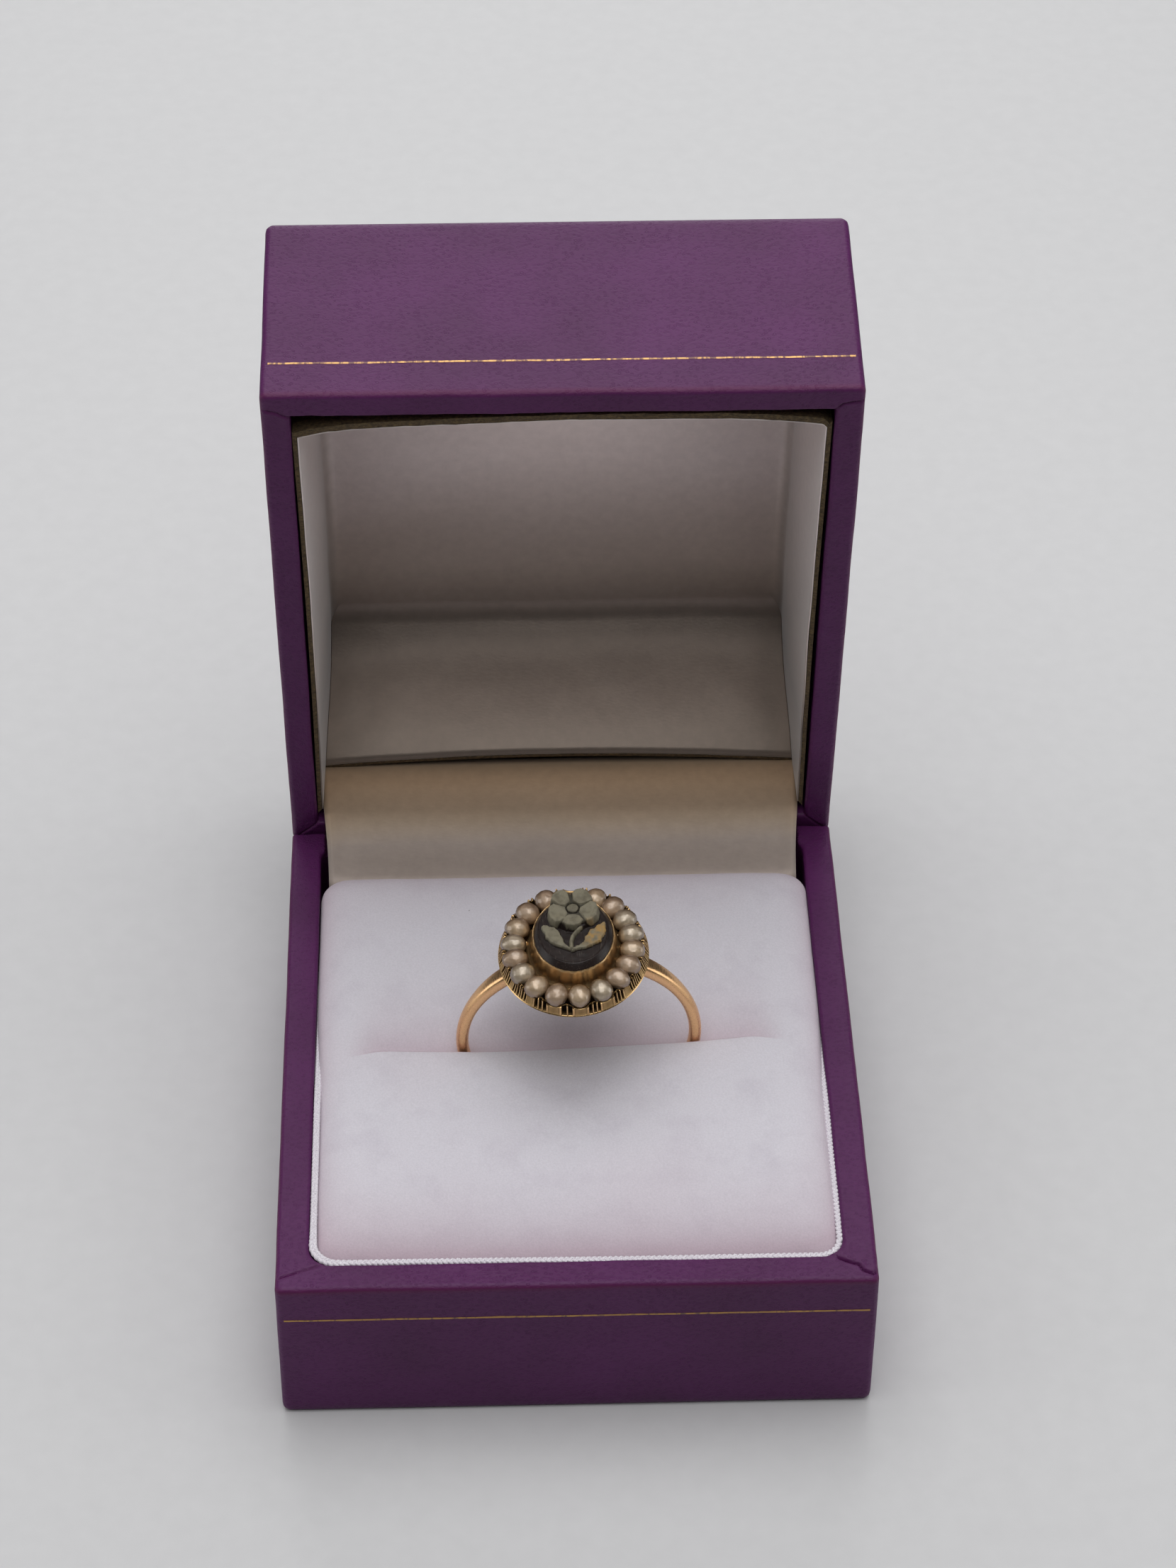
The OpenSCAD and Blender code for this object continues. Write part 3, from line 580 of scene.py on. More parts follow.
def coveredShell(name, shape, toWorld, body, seed):
    high, wall, low = shape["height"], shape["wall"], shape["floor"]
    outArc, inArc = shape["rimRound"], shape["rimInside"]
    # rows of inset and height: under the floor, up the wall, over the rim and down inside
    rows = shellFoot + [(0.0, h) for h in np.linspace(0.9, high - outArc - 0.3, 15)]
    rows += [(outArc * (1 - math.cos(a)), high - outArc + outArc * math.sin(a)) for a in quarter]
    across = np.linspace(outArc, wall - inArc, 24)[1:-1]
    rows += [(i, high) for i in across]
    rows += [(wall - inArc + inArc * math.sin(a), high - inArc + inArc * math.cos(a)) for a in quarter]
    rows += [(wall, h) for h in np.linspace(high - inArc - 0.5, low + 0.3, 8)]
    rows += [(wall + 0.3, low), (wall + 3.0, low), (13.0, low)]
    points, fold = [], []
    for inset, h in rows:
        ring = roundedOutline(inset, shape)
        points.append(np.column_stack([ring, np.full(len(ring), h)]))
        bend = np.exp(-(((inset - 0.05) / 0.16) ** 2 + ((h - high + 0.3) / 0.28) ** 2))
        fold.append(np.full(len(ring), bend))
    columns = len(points[0])
    points, fold = np.concatenate(points), np.concatenate(fold)
    onRim = smooth(points[:, 2], high - 0.6, high - 0.05)
    for crease in shape["creases"]:
        raised, close = creaseHeights(points[:, :2], crease)
        points[:, 2] += raised * onRim
        fold = np.maximum(fold, 0.25 * close * onRim)
    # hand-covered card is never quite straight
    above = smooth(points[:, 2], low - 1.2, low)
    for axis in range(3):
        wave = ripple(points, handwork["waveSize"], seed + axis)
        points[:, axis] += handwork["wave"] * wave * above
        pucker = ripple(points, handwork["puckerSize"], seed + 5 + axis)
        points[:, axis] += handwork["pucker"] * pucker * np.maximum(onRim, 0.25) * above
    # room for the hinge along the back
    limit = np.full(len(points), shape["closed"])
    if shape["hingeStep"]:
        limit[points[:, 1] > shape["hingeStep"]] = shape["stepHeight"]
    groove = (np.abs(points[:, 0]) < shape["grooveHalf"]) & (points[:, 1] > shape["grooveFrom"])
    limit = np.where(groove, np.minimum(limit, shape["grooveHeight"]), limit)
    points[:, 2] = np.minimum(points[:, 2], limit)
    points[:, 0] = np.clip(points[:, 0], -box["halfWidth"], box["halfWidth"])
    points[:, 1] = np.clip(points[:, 1], -box["halfDepth"], box["halfDepth"])
    faces = gridFaces(len(rows), columns, wrap=True)
    last = (len(rows) - 1) * columns
    faces += [tuple(range(columns))[::-1], tuple(last + c for c in range(columns))]
    return addPiece(name, toWorld(points), faces, leatherette, body, sharp=50, marks={"fold": fold})


def lidToWorld(points):
    # the lid is drawn like a tray, with its own top face at height 0
    return onLid(points[:, 0], box["hingeY"] - points[:, 1], box["lidHeight"] - points[:, 2])


traySeed, lidSeed = 3.1, 8.4
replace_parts(coveredShell("tray_covered", tray, lambda p: p, "base", traySeed), "box_tray")
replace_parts(coveredShell("lid_covered", lid, lidToWorld, "lid", lidSeed), "lid_shell")
print("box shells done")


foilLine = {
    "halfLength": 23.4, "steps": 260, "uneven": 0.35, "proud": 0.02, "sunk": 0.06,
    "baseHeight": 11.4, "baseWide": 0.17, "lidHeight": 16.8, "lidWide": 0.18,
}


def addFoil(name, height, width, seed, toWorld, material, body):
    x = np.linspace(-foilLine["halfLength"], foilLine["halfLength"], foilLine["steps"])
    proud, sunk = foilLine["proud"], -foilLine["sunk"]
    line = []
    for across, out in ((-0.5, sunk), (-0.5, proud), (0.5, proud), (0.5, sunk)):
        uneven = np.array([noise.noise(Vector((v / 0.6, across * 9, seed))) for v in x])
        z = height + across * width * (1 + foilLine["uneven"] * uneven)
        line.append(np.column_stack([x, np.full_like(x, -box["halfDepth"] - out), z]))
    line = np.concatenate(line)
    # it lies on the leatherette, also where that sinks behind the front
    front = line.copy()
    front[:, 1] = -box["halfDepth"]
    line[:, 1] += handwork["wave"] * np.maximum(ripple(front, handwork["waveSize"], seed + 1), 0)
    n = len(x)
    faces = []
    for here, after in ((0, n), (n, 2 * n), (2 * n, 3 * n), (3 * n, 0)):
        faces += [(here + c, here + c + 1, after + c + 1, after + c) for c in range(n - 1)]
    faces += [(0, n, 2 * n, 3 * n), (4 * n - 1, 3 * n - 1, 2 * n - 1, n - 1)]
    addPiece(name, toWorld(line), faces, material, body, sharp=40)


addFoil("foil_line_base", foilLine["baseHeight"], foilLine["baseWide"], traySeed, lambda p: p, baseFoil, "base")
addFoil("foil_line_lid", foilLine["lidHeight"], foilLine["lidWide"], lidSeed, lidToWorld, lidFoil, "lid")
print("foil done")


pad = {
    "left": -20.76, "right": 21.0, "front": -24.12, "back": 20.0, "cornerRound": 1.75, "backRound": 2.2,
    "swellLeft": 0.4, "swellRight": 0.3,
    "top": 15.98, "edgeDrop": 1.25, "frontDrop": 2.2, "backDrop": 1.0,
    "sideRoll": 3.4, "frontRoll": 7.5, "backRoll": 3.4, "foot": 1.72,
    "slitPath": [(-21.0, -2.35), (-18.3, -2.38), (-14.4, -2.5), (-8.6, -2.72), (-3.0, -2.62), (1.5, -2.4),
                 (10.0, -2.0), (15.3, -1.5), (18.7, -1.15), (21.0, -0.9)],
    "slitEnds": (-19.0, 18.6), "slitEase": 3.5, "frontRise": 0.72, "backDip": 0.8, "frontLip": 0.4, "backLip": 0.35,
    "frontRiseWide": 3.6, "frontLipDrop": 0.4, "backDipWide": 2.8, "backLipDrop": 0.25,
    "slitHalf": 0.03, "hoopSpread": 0.72, "hoopBand": 0.48, "hoopEase": 1.1,
    "wallDrops": (0.0, 0.25, 0.7, 1.4, 2.6, 4.2, 6.2, 8.6),
    "skirt": ((0.12, -0.45), (0.1, -1.2), (-0.05, -5.0)),  # outwards and down from the pad's edge
    "uneven": 0.05, "unevenSize": 4.5, "nap": 0.02, "napSize": 1.3,
    # how far in from the sides, the ends, the front and the slit the painted shade reaches
    "shadeSide": 1.0, "shadeEnd": 1.4, "shadeFront": 3.6, "shadeSlit": 3.0,  # how far in
    "columns": 57, "frontRows": 33, "backRows": 31, "finer": 3, "crowd": 1.35,  # points crowd to the sides
    "simScale": 20.0, "simFrames": 22, "pressure": 26.0, "mostLift": 0.55,
}


def slitLine(x):
    return readLine(pad["slitPath"], x)


def slitOpen(x):
    # 1 along the slit, easing to 0 at its two ends
    (left, right), ease = pad["slitEnds"], pad["slitEase"]
    return smooth(x, left, left + ease) * smooth(-x, -right, -right + ease)


def padHalf(y, side):
    # towards the back the pad swells over its edging, and its corners are round
    full = pad["right"] if side > 0 else -pad["left"]
    full = full + pad["swellRight" if side > 0 else "swellLeft"] * smooth(y, -9.0, 4.0)
    for r, far in ((pad["cornerRound"], y - pad["front"]), (pad["backRound"], pad["back"] - y)):
        into = np.clip(far, 0, r)
        full = full - r + np.sqrt(np.maximum(r * r - (r - into) ** 2, 0))
    return full


def fall(distance, width):
    # a rounded shoulder: 1 at the edge, 0 from one width in
    return 1 - np.sqrt(1 - (1 - np.clip(distance / width, 0, 1)) ** 2)


def padLobe(front, across, down):
    # one lobe of the pad as a grid of points: across runs left to right, down from front to back
    u = np.linspace(-1, 1, across)
    u = np.sign(u) * (1 - (1 - np.abs(u)) ** pad["crowd"])
    v = np.linspace(0, 1, down)
    v = 0.5 - 0.5 * np.cos(math.pi * v)
    grid = np.zeros((down, across, 3))
    for j, t in enumerate(v):
        x = 0.5 * (pad["left"] + pad["right"]) + u * 20.6
        for settle in range(3):  # the pad's width depends on y, and y on the slit's place at x
            line = slitLine(x)
            y = pad["front"] + (line - pad["front"]) * t if front else line + (pad["back"] - line) * t
            x = np.where(u < 0, u * padHalf(y, -1), u * padHalf(y, 1))
        fromSide = np.minimum(x + padHalf(y, -1), padHalf(y, 1) - x)
        fromEnd = y - pad["front"] if front else pad["back"] - y
        off = np.abs(y - line)
        endDrop = pad["frontDrop"] if front else pad["backDrop"]
        endRoll = pad["frontRoll"] if front else pad["backRoll"]
        sideFall, endFall = fall(fromSide, pad["sideRoll"]), fall(fromEnd, endRoll)
        edge = 1 - (1 - sideFall) * (1 - endFall)
        drop = pad["edgeDrop"] * sideFall * (1 - endFall) + endDrop * endFall
        if front:
            rise = pad["frontRise"] * np.exp(-(np.maximum(off - 0.4, 0) / pad["frontRiseWide"]) ** 2)
            lip = rise - pad["frontLipDrop"] * fall(off, pad["frontLip"])
        else:
            rise = -pad["backDip"] * np.exp(-(off / pad["backDipWide"]) ** 2)
            lip = rise - pad["backLipDrop"] * fall(off, pad["backLip"])
        grid[j, :, 0], grid[j, :, 1] = x, y
        grid[j, :, 2] = pad["top"] + lip * slitOpen(x) * (1 - edge) - drop
    return grid


def puffLobe(grid):
    # blown up gently as cloth, held along its border and along the slit, then eased back to the lift it needs
    down, across = grid.shape[:2]
    mesh = bpy.data.meshes.new("puff")
    scale = pad["simScale"] * mm
    mesh.from_pydata((grid.reshape(-1, 3) * scale).tolist(), [], gridFaces(down, across))
    sheet = bpy.data.objects.new("puff", mesh)
    bpy.context.collection.objects.link(sheet)
    held = sheet.vertex_groups.new(name="held")
    held.add(gridBorder(down, across), 1.0, "REPLACE")
    cloth = sheet.modifiers.new("cloth", "CLOTH")
    cloth.settings.quality = 6
    cloth.settings.mass = 0.4
    cloth.settings.tension_stiffness = cloth.settings.compression_stiffness = 12.0
    cloth.settings.bending_stiffness = 1.5
    cloth.settings.use_pressure = True
    cloth.settings.uniform_pressure_force = pad["pressure"]
    cloth.settings.vertex_group_mass = "held"
    cloth.settings.effector_weights.gravity = 0.0
    cloth.collision_settings.use_collision = False
    cloth.point_cache.frame_start, cloth.point_cache.frame_end = 1, pad["simFrames"]
    for step in range(1, pad["simFrames"] + 1):
        bpy.context.scene.frame_set(step)
    posed = sheet.evaluated_get(bpy.context.evaluated_depsgraph_get())
    blown = np.array([v.co[:] for v in posed.data.vertices]).reshape(grid.shape) / scale
    bpy.context.scene.frame_set(1)
    bpy.data.objects.remove(sheet)
    lift = blown - grid
    most = np.abs(lift).max()
    print("  pad lobe puffed, most lift %.2f mm" % most)
    return grid + lift * min(1.0, pad["mostLift"] / most)


def refine(grid, times):
    # more points, on smooth curves through the given ones along both ways of the grid
    for axis in (0, 1):
        grid = np.moveaxis(grid, axis, 0)
        n = len(grid)
        place = np.linspace(0, n - 1, (n - 1) * times + 1)
        i = np.minimum(place.astype(int), n - 2)
        f = (place - i)[:, None, None]
        a, b, c, d = (grid[np.clip(i + k, 0, n - 1)] for k in (-1, 0, 1, 2))
        grid = 0.5 * (2 * b + (c - a) * f + (2 * a - 5 * b + 4 * c - d) * f * f + (3 * b - a - 3 * c + d) * f ** 3)
        grid = np.moveaxis(grid, 0, axis)
    return grid


def hoopGap(x, z):
    # half width of the slit: just closed, but spread where the hoop passes through it
    off = np.abs(np.hypot(x - ringStand["middle"][0], z - ringStand["middle"][2]) - ringStand["radius"])
    near = 1 - smooth(off, pad["hoopBand"], pad["hoopBand"] + pad["hoopEase"])
    return pad["slitHalf"] + pad["hoopSpread"] * near


def addPad():
    lobes = {}
    for front, down in ((True, pad["frontRows"]), (False, pad["backRows"])):
        lobes[front] = refine(puffLobe(padLobe(front, pad["columns"], down)), pad["finer"])
    wide = lobes[True].shape[1]
    seam = 0.5 * (lobes[True][-1] + lobes[False][0])
    x = seam[:, 0]
    opened = slitOpen(x)
    rows = list(lobes[True][:-1])
    # the walls of the slit, spread where the hoop passes through
    for front in (True, False):
        side = -1 if front else 1
        lip = lobes[front][-1 if front else 0]
        wall = []
        for drop in pad["wallDrops"]:
            row = lip.copy()
            row[:, 2] = seam[:, 2] + (lip[:, 2] - drop - seam[:, 2]) * opened
            row[:, 1] = slitLine(x) + side * hoopGap(x, row[:, 2]) * opened
            wall.append(row)
        rows += wall if front else wall[::-1]
    rows += list(lobes[False][1:])
    down = len(rows)
    flat = np.array(rows).reshape(-1, 3)
    uneven = pad["uneven"] * ripple(flat, pad["unevenSize"], 2.2)
    uneven += pad["nap"] * ripple(flat, pad["napSize"], 4.2)
    flat[:, 2] += uneven
    # painted shade: the velvet is painted a darker pink near the edging, along the front and down in the slit, for
    # shade and pink reflected light
    fromSide = np.minimum(flat[:, 0] - pad["left"], pad["right"] - flat[:, 0])
    fromEnd = np.minimum(flat[:, 1] - pad["front"], pad["back"] - flat[:, 1])
    behind = flat[:, 1] - slitLine(flat[:, 0])
    pressed = 0.6 * np.exp(-np.maximum(fromSide, 0) / pad["shadeSide"])
    pressed += 0.6 * np.exp(-np.maximum(fromEnd, 0) / pad["shadeEnd"])
    pressed += 0.8 * np.exp(-np.maximum(flat[:, 1] - pad["front"], 0) / pad["shadeFront"])
    slitShare = np.exp(-np.maximum(behind, 0) / pad["shadeSlit"])
    pressed += slitOpen(flat[:, 0]) * np.where(behind > -0.3, slitShare, 0)
    pressed = np.clip(pressed, 0, 1)
    # a skirt down inside the edging, and a flat foot
    points = [flat]
    faces = gridFaces(down, wide)
    border = gridBorder(down, wide)
    rim = flat[border]
    outward = rim - rim.mean(0)
    outward[:, 2] = 0
    outward /= np.linalg.norm(outward, axis=1)[:, None]
    for out, height in pad["skirt"]:
        skirt = rim + outward * out
        skirt[:, 2] = rim[:, 2] + height
        points.append(skirt)
    foot = rim.copy()
    foot[:, 2] = pad["foot"]
    points.append(foot)
    start, count, levels = len(flat), len(border), len(points) - 1
    rings = [border] + [range(start + k * count, start + (k + 1) * count) for k in range(levels)]
    for near, far in zip(rings, rings[1:]):
        faces += bandFaces(near, far)
    faces.append(tuple(rings[-1]))
    # the skirt down inside the edging is painted fully in shade
    marks = {"pressed": np.concatenate([pressed, np.ones(levels * count)])}
    piece = addPiece("pad_velvet", np.concatenate(points), faces, velvet, "base", sharp=80, marks=marks)
    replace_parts(piece, "pad")


addPad()
print("pad done")


braid = {
    "left": -21.03, "right": 21.17, "front": -24.45, "back": 18.5, "round": 1.9, "height": 14.82,
    "strand": 0.145, "swing": 0.165, "pitch": 1.3, "hump": 0.11, "core": 0.2, "coreDrop": 0.14,
    "frontSink": 0.16, "rightSink": 0.12, "sideSink": 0.6, "backSink": 0.9, "leftFull": 0.1,
    "cornerSwing": 0.5, "cornerThick": 0.2, "sides": 7, "step": 0.14,
}


def braidPath():
    left, right, front, back, r, step = (braid[k] for k in ("left", "right", "front", "back", "round", "step"))
    bend = np.linspace(0, math.pi / 2, int(1.57 * r / step))
    path = [(left, y) for y in np.arange(back, front + r, -step)]
    path += [(left + r - r * math.cos(a), front + r - r * math.sin(a)) for a in bend]
    path += [(x, front) for x in np.arange(left + r + step, right - r, step)]
    path += [(right - r + r * math.sin(a), front + r - r * math.cos(a)) for a in bend]
    path += [(right, y) for y in np.arange(front + r + step, back, step)]
    return np.array(path)


def tube(path, radius, sides):
    # points of a round tube along a path, and its faces
    path = np.asarray(path)
    run = np.gradient(path, axis=0)
    run /= np.linalg.norm(run, axis=1)[:, None]
    first = np.cross(run, (0, 0, 1))
    first /= np.linalg.norm(first, axis=1)[:, None]
    second = np.cross(run, first)
    radius = np.broadcast_to(radius, len(path))
    points = []
    for k in range(sides):
        angle = 2 * math.pi * k / sides
        points.append(path + radius[:, None] * (first * math.cos(angle) + second * math.sin(angle)))
    points = np.stack(points, 1).reshape(-1, 3)
    faces = gridFaces(len(path), sides, wrap=True)
    last = (len(path) - 1) * sides
    faces += [tuple(range(sides))[::-1], tuple(last + k for k in range(sides))]
    return points, faces


def addBraid():
    plan = braidPath()
    run = np.gradient(plan, axis=0)
    run /= np.linalg.norm(run, axis=1)[:, None]
    side = np.column_stack([run[:, 1], -run[:, 0]])
    far = np.concatenate([[0], np.cumsum(np.linalg.norm(np.diff(plan, axis=0), axis=1))])
    x, y = plan[:, 0], plan[:, 1]
    # it sinks a little along the front and the right, more towards the back, and spreads at the corner
    sink = braid["frontSink"] * smooth(x, -14, 6) * (y < braid["front"] + 1.5)
    sink += braid["rightSink"] * smooth(x, 19, 20.9)
    sink += braid["sideSink"] * smooth(y, -9, 4) + braid["backSink"] * smooth(y, 6, 16)
    sink -= braid["leftFull"] * smooth(-x, 19.0, 20.8) * smooth(-y, -6, 6)
    corner = np.exp(-((x - braid["left"] - 1.2) ** 2 + (y - braid["front"] - 1.2) ** 2) / 2.5)
    plies = []
    for strand in range(3):
        phase = 2 * math.pi * (far / braid["pitch"] + strand / 3)
        swing = braid["swing"] * (1 + braid["cornerSwing"] * corner)
        track = plan + side * (np.sin(phase) * swing)[:, None]
        height = braid["height"] - sink + braid["hump"] * np.sin(2 * phase)
        thick = braid["strand"] * (1 + braid["cornerThick"] * corner)
        plies.append((np.column_stack([track, height]), thick))
    plies.append((np.column_stack([plan, braid["height"] - sink - braid["coreDrop"]]), braid["core"]))
    points, faces, used = [], [], 0
    for path, radius in plies:
        places, around = tube(path, radius, braid["sides"])
        points.append(places)
        faces += [tuple(i + used for i in face) for face in around]
        used += len(places)
    piece = addPiece("pad_braid", np.concatenate(points), faces, braidSilk, "base")
    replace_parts(piece, "pad_trim")


addBraid()
print("braid done")


# depths go from the lid's rim (0) inwards; on the hinge side the satin leans from leanFoot up to leanTop.
# frontEdge: the card's front edge as (x, distance from the hinge)
liner = {
    "cardEdge": 0.6, "top": 17.4, "cornerRound": 1.1, "leanTop": 9.8, "leanFoot": 3.3, "leanDepth": 5.2,
    "halfLeft": 21.2, "halfRight": 21.1, "waist": 0.18, "drawnIn": 0.7, "hingeBow": 1.15, "hingeBulge": 1.2,
    "frontEdge": [(-21.6, 48.4), (-20.4, 48.8), (-19.1, 49.1), (-16.8, 49.4), (-13.2, 49.62), (0.0, 50.1),
                  (12.8, 50.02), (16.1, 49.84), (19.4, 49.48), (20.8, 49.25), (21.4, 48.6)],
    "frontDeep": 49.6, "quilt": 0.22, "quiltSize": 9.0, "valley": 0.35, "valleyWide": 3.0, "ragged": 0.05,
    "cornerX": 20.9, "panelInsets": (2.0, 3.2, 5.0, 7.5, 10.5, 14.0, 17.2),
    "satinThick": 0.1, "sideColumns": 44, "frontColumns": 56, "satinRows": 30, "cardRows": 14,
    "onSatin": {"side": 0.0, "front": 0.0, "hinge": 0.0, "top": 0.0},
    "cardInside": {"side": 0.08, "front": 0.08, "hinge": 0.08, "top": 0.08},
    "cardOutside": {"side": 0.42, "front": 0.72, "hinge": 0.5, "top": 0.5},
}


def linerFront(x, deep):
    # the card's front edge is bowed forward in the middle, and its corners curl back
    edge = readLine(liner["frontEdge"], x)
    return edge + (liner["frontDeep"] - edge) * smooth(deep, liner["cardEdge"], 9.0)


def linerHalf(up, deep, side):
    # side walls: nearly upright, drawn in a little further back and halfway along
    waist = liner["waist"] * np.sin(np.clip(up / 48, 0, 1) * math.pi)
    start = liner["halfLeft"] if side < 0 else liner["halfRight"]
    return start - waist - liner["drawnIn"] * smooth(deep, liner["cardEdge"], 16.0)


def linerHinge(x, deep):
    # the panel on the hinge side leans, and its free edge is bowed
    bow = liner["hingeBow"] * (1 - (x / liner["halfLeft"]) ** 2)
    lean = (deep - liner["leanDepth"]) / (liner["top"] - liner["leanDepth"])
    foot = liner["leanFoot"] - 0.9
    bulge = liner["hingeBulge"] * smooth(deep, 11.5, 19.0) ** 2
    return foot + bow * (1 - lean) + (liner["leanTop"] - foot) * np.clip(lean, 0, 1) ** 0.9 + bulge


def linerRing(deep, shrink, grow):
    # plan of the lining at one depth: up the left side, across the front, down the right, along the hinge
    hingeDeep = max(deep, liner["leanDepth"])
    low = linerHinge(np.array([-liner["cornerX"], liner["cornerX"]]), hingeDeep)
    ring = []
    t = np.linspace(0, 1, liner["sideColumns"])
    for side in (-1, 1):
        a = low[0] if side < 0 else low[1]
        a = a + shrink - grow["hinge"]
        b = linerFront(side * 21.0, deep) - shrink + grow["front"]
        up = a + (b - a) * (0.5 - 0.5 * np.cos(math.pi * t))
        ring.append(np.column_stack([side * (linerHalf(up, deep, side) - shrink + grow["side"]), up]))
    left, right = ring
    s = np.linspace(0, 1, liner["frontColumns"] + 2)[1:-1]
    s = 0.5 - 0.5 * np.cos(math.pi * s)
    x = left[-1, 0] + (right[-1, 0] - left[-1, 0]) * s
    front = np.column_stack([x, linerFront(x, deep) - shrink + grow["front"]])
    x = right[0, 0] + (left[0, 0] - right[0, 0]) * s
    hinge = np.column_stack([x, linerHinge(x, hingeDeep) + shrink - grow["hinge"]])
    return np.concatenate([left, front, right[::-1], hinge])


def linerShell(grow, rimDeep, steps):
    # rings from the rim to the middle of the top panel, and the depth and inset of each
    r = liner["cornerRound"]
    top = liner["top"] + grow["top"]
    rows = [(d, 0.0) for d in np.linspace(rimDeep, top - r, steps)]
    rows += [(top - r + r * math.sin(a), r * (1 - math.cos(a))) for a in quarter[1:]]
    rows += [(top, inset) for inset in liner["panelInsets"]]
    shell = []
    for deep, shrink in rows:
        ring = linerRing(deep, shrink, grow)
        shell.append(np.column_stack([ring, np.full(len(ring), deep)]))
    return np.array(shell), rows


def linerSkip(rows):
    # nearer than the leaning panel's foot there is no wall on the hinge side
    walls = 2 * liner["sideColumns"] + liner["frontColumns"]

    def skip(r, c):
        return c >= walls - 1 and rows[r + 1][0] <= liner["leanDepth"] + 0.3 and rows[r][1] == 0

    return skip


def addLining():
    shell, rows = linerShell(liner["onSatin"], liner["cardEdge"] + 0.02, liner["satinRows"])
    count, columns = shell.shape[:2]
    flat = shell.reshape(-1, 3)
    # quilted by its glue only here and there: slow hollows and swells over the panel
    soft = smooth(flat[:, 2], 3.0, 16.0)
    deep = flat[:, 2] - liner["quilt"] * soft * (0.5 + ripple(flat / (1.3, 1.0, 1.0), liner["quiltSize"], 6.5))
    deep -= liner["valley"] * soft * np.exp(-((flat[:, 1] - liner["leanTop"] - 1.5) / liner["valleyWide"]) ** 2)
    points = onLid(flat[:, 0] + 0.05 * ripple(flat, 5.0, 1.5), flat[:, 1] + 0.05 * ripple(flat, 3.0, 9.5), deep)
    faces = gridFaces(count, columns, wrap=True, skip=linerSkip(rows))
    last = (count - 1) * columns
    faces.append(tuple(last + c for c in range(columns)))
    # painted highlight: the satin is painted brighter in the middle of the panel away from the hinge, and on the
    # side walls near the rim
    clean = np.exp(-(flat[:, 0] / 11.0) ** 2) * smooth(flat[:, 1], 20.0, 34.0)
    clean += 0.5 * smooth(np.abs(flat[:, 0]), 18.6, 20.4) * (1 - smooth(flat[:, 2], 8.0, 16.5))
    piece = addPiece("lid_lining", points, faces, liningSatin, "lid", marks={"clean": clean})
    thicken(piece, liner["satinThick"])
    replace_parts(piece, "lid_liner")


def addCard():
    inner, rows = linerShell(liner["cardInside"], liner["cardEdge"], liner["cardRows"])
    outer = linerShell(liner["cardOutside"], liner["cardEdge"] - 0.05, liner["cardRows"])[0]
    count, columns = inner.shape[:2]
    points = np.concatenate([inner.reshape(-1, 3), outer.reshape(-1, 3)])
    faces = gridFaces(count, columns, wrap=True, skip=linerSkip(rows))
    shift = count * columns
    faces += [tuple(i + shift for i in f)[::-1] for f in faces]
    last = (count - 1) * columns
    faces += [tuple(last + c for c in range(columns)), tuple(shift + last + c for c in range(columns))[::-1]]
    # the cut edge of the board: join every open border of the inner layer to the outer one
    edges = dict.fromkeys((p, q) for f in faces if max(f) < shift for p, q in zip(f, f[1:] + f[:1]))
    faces += [(q, p, p + shift, q + shift) for p, q in edges if (q, p) not in edges]
    ragged = liner["ragged"] * ripple(points, 0.6, 7.7) * (points[:, 2] < 2.0)
    world = onLid(points[:, 0], points[:, 1] + ragged, points[:, 2] + ragged)
    piece = addPiece("lid_card", world, faces, strawboard, "lid", sharp=40)
    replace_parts(piece, "lid_liner")


addCard()
addLining()
print("lid lining done")


# path: from under the pad over the hinge to behind the lid's liner, as (y, z)
strip = {
    "halfAtPad": 20.6, "halfAtLid": 21.3, "thick": 0.16, "slack": 0.12, "slackSize": 6.0, "edgeLift": 0.25,
    "columns": 84, "finer": 4,
    "path": [(19.3, 13.9), (19.75, 14.45), (20.3, 14.85), (21.2, 15.12), (22.4, 15.45), (23.5, 15.84), (24.5, 16.3),
             (25.4, 16.72), (26.3, 17.06), (27.3, 17.3), (28.3, 17.57), (29.4, 17.9), (30.6, 18.15),
             (31.6, 18.15), (32.5, 17.95)],
}


def addHingeStrip():
    control = np.array(strip["path"])
    curve = refine(control[:, None, :].repeat(2, 1), strip["finer"])[:, 0]
    across = np.linspace(-1, 1, strip["columns"])
    points = []
    for k, (y, z) in enumerate(curve):
        t = k / (len(curve) - 1)
        half = strip["halfAtPad"] + (strip["halfAtLid"] - strip["halfAtPad"]) * smooth(t, 0.1, 0.9)
        x = across * half
        free = math.sin(math.pi * t)  # held at both ends, loose between them
        slack = strip["slack"] * np.array([noise.noise(Vector((v / strip["slackSize"], t * 2.0, 3.3))) for v in x])
        edge = strip["edgeLift"] * smooth(np.abs(across), 0.93, 1.0)
        points.append(np.column_stack([x, np.full_like(x, y), z + (slack + edge) * free]))
    points = np.concatenate(points)
    piece = addPiece("hinge_strip", points, gridFaces(len(curve), len(across)), hingeSatin, None)
    thicken(piece, strip["thick"])
    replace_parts(piece, "hinge_cloth_base", "hinge_cloth_lid")
    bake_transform(piece)


addHingeStrip()
dress("base_hinge", hingeBrass)
dress("lid_hinge", hingeBrass)
print("hinge done")


hoop = {
    "thick": 1.04, "wide": 1.3, "shoulderWide": 1.62, "shoulderThick": 1.18,
    "shoulderFull": 30, "shoulderFrom": 72,  # degrees from the head
    "filedSides": 0.4, "filedTop": 0.45, "inside": 0.85,  # how square the section is there
    "worn": 0.012, "wornSize": 2.2, "steps": 300, "sides": 40,
}


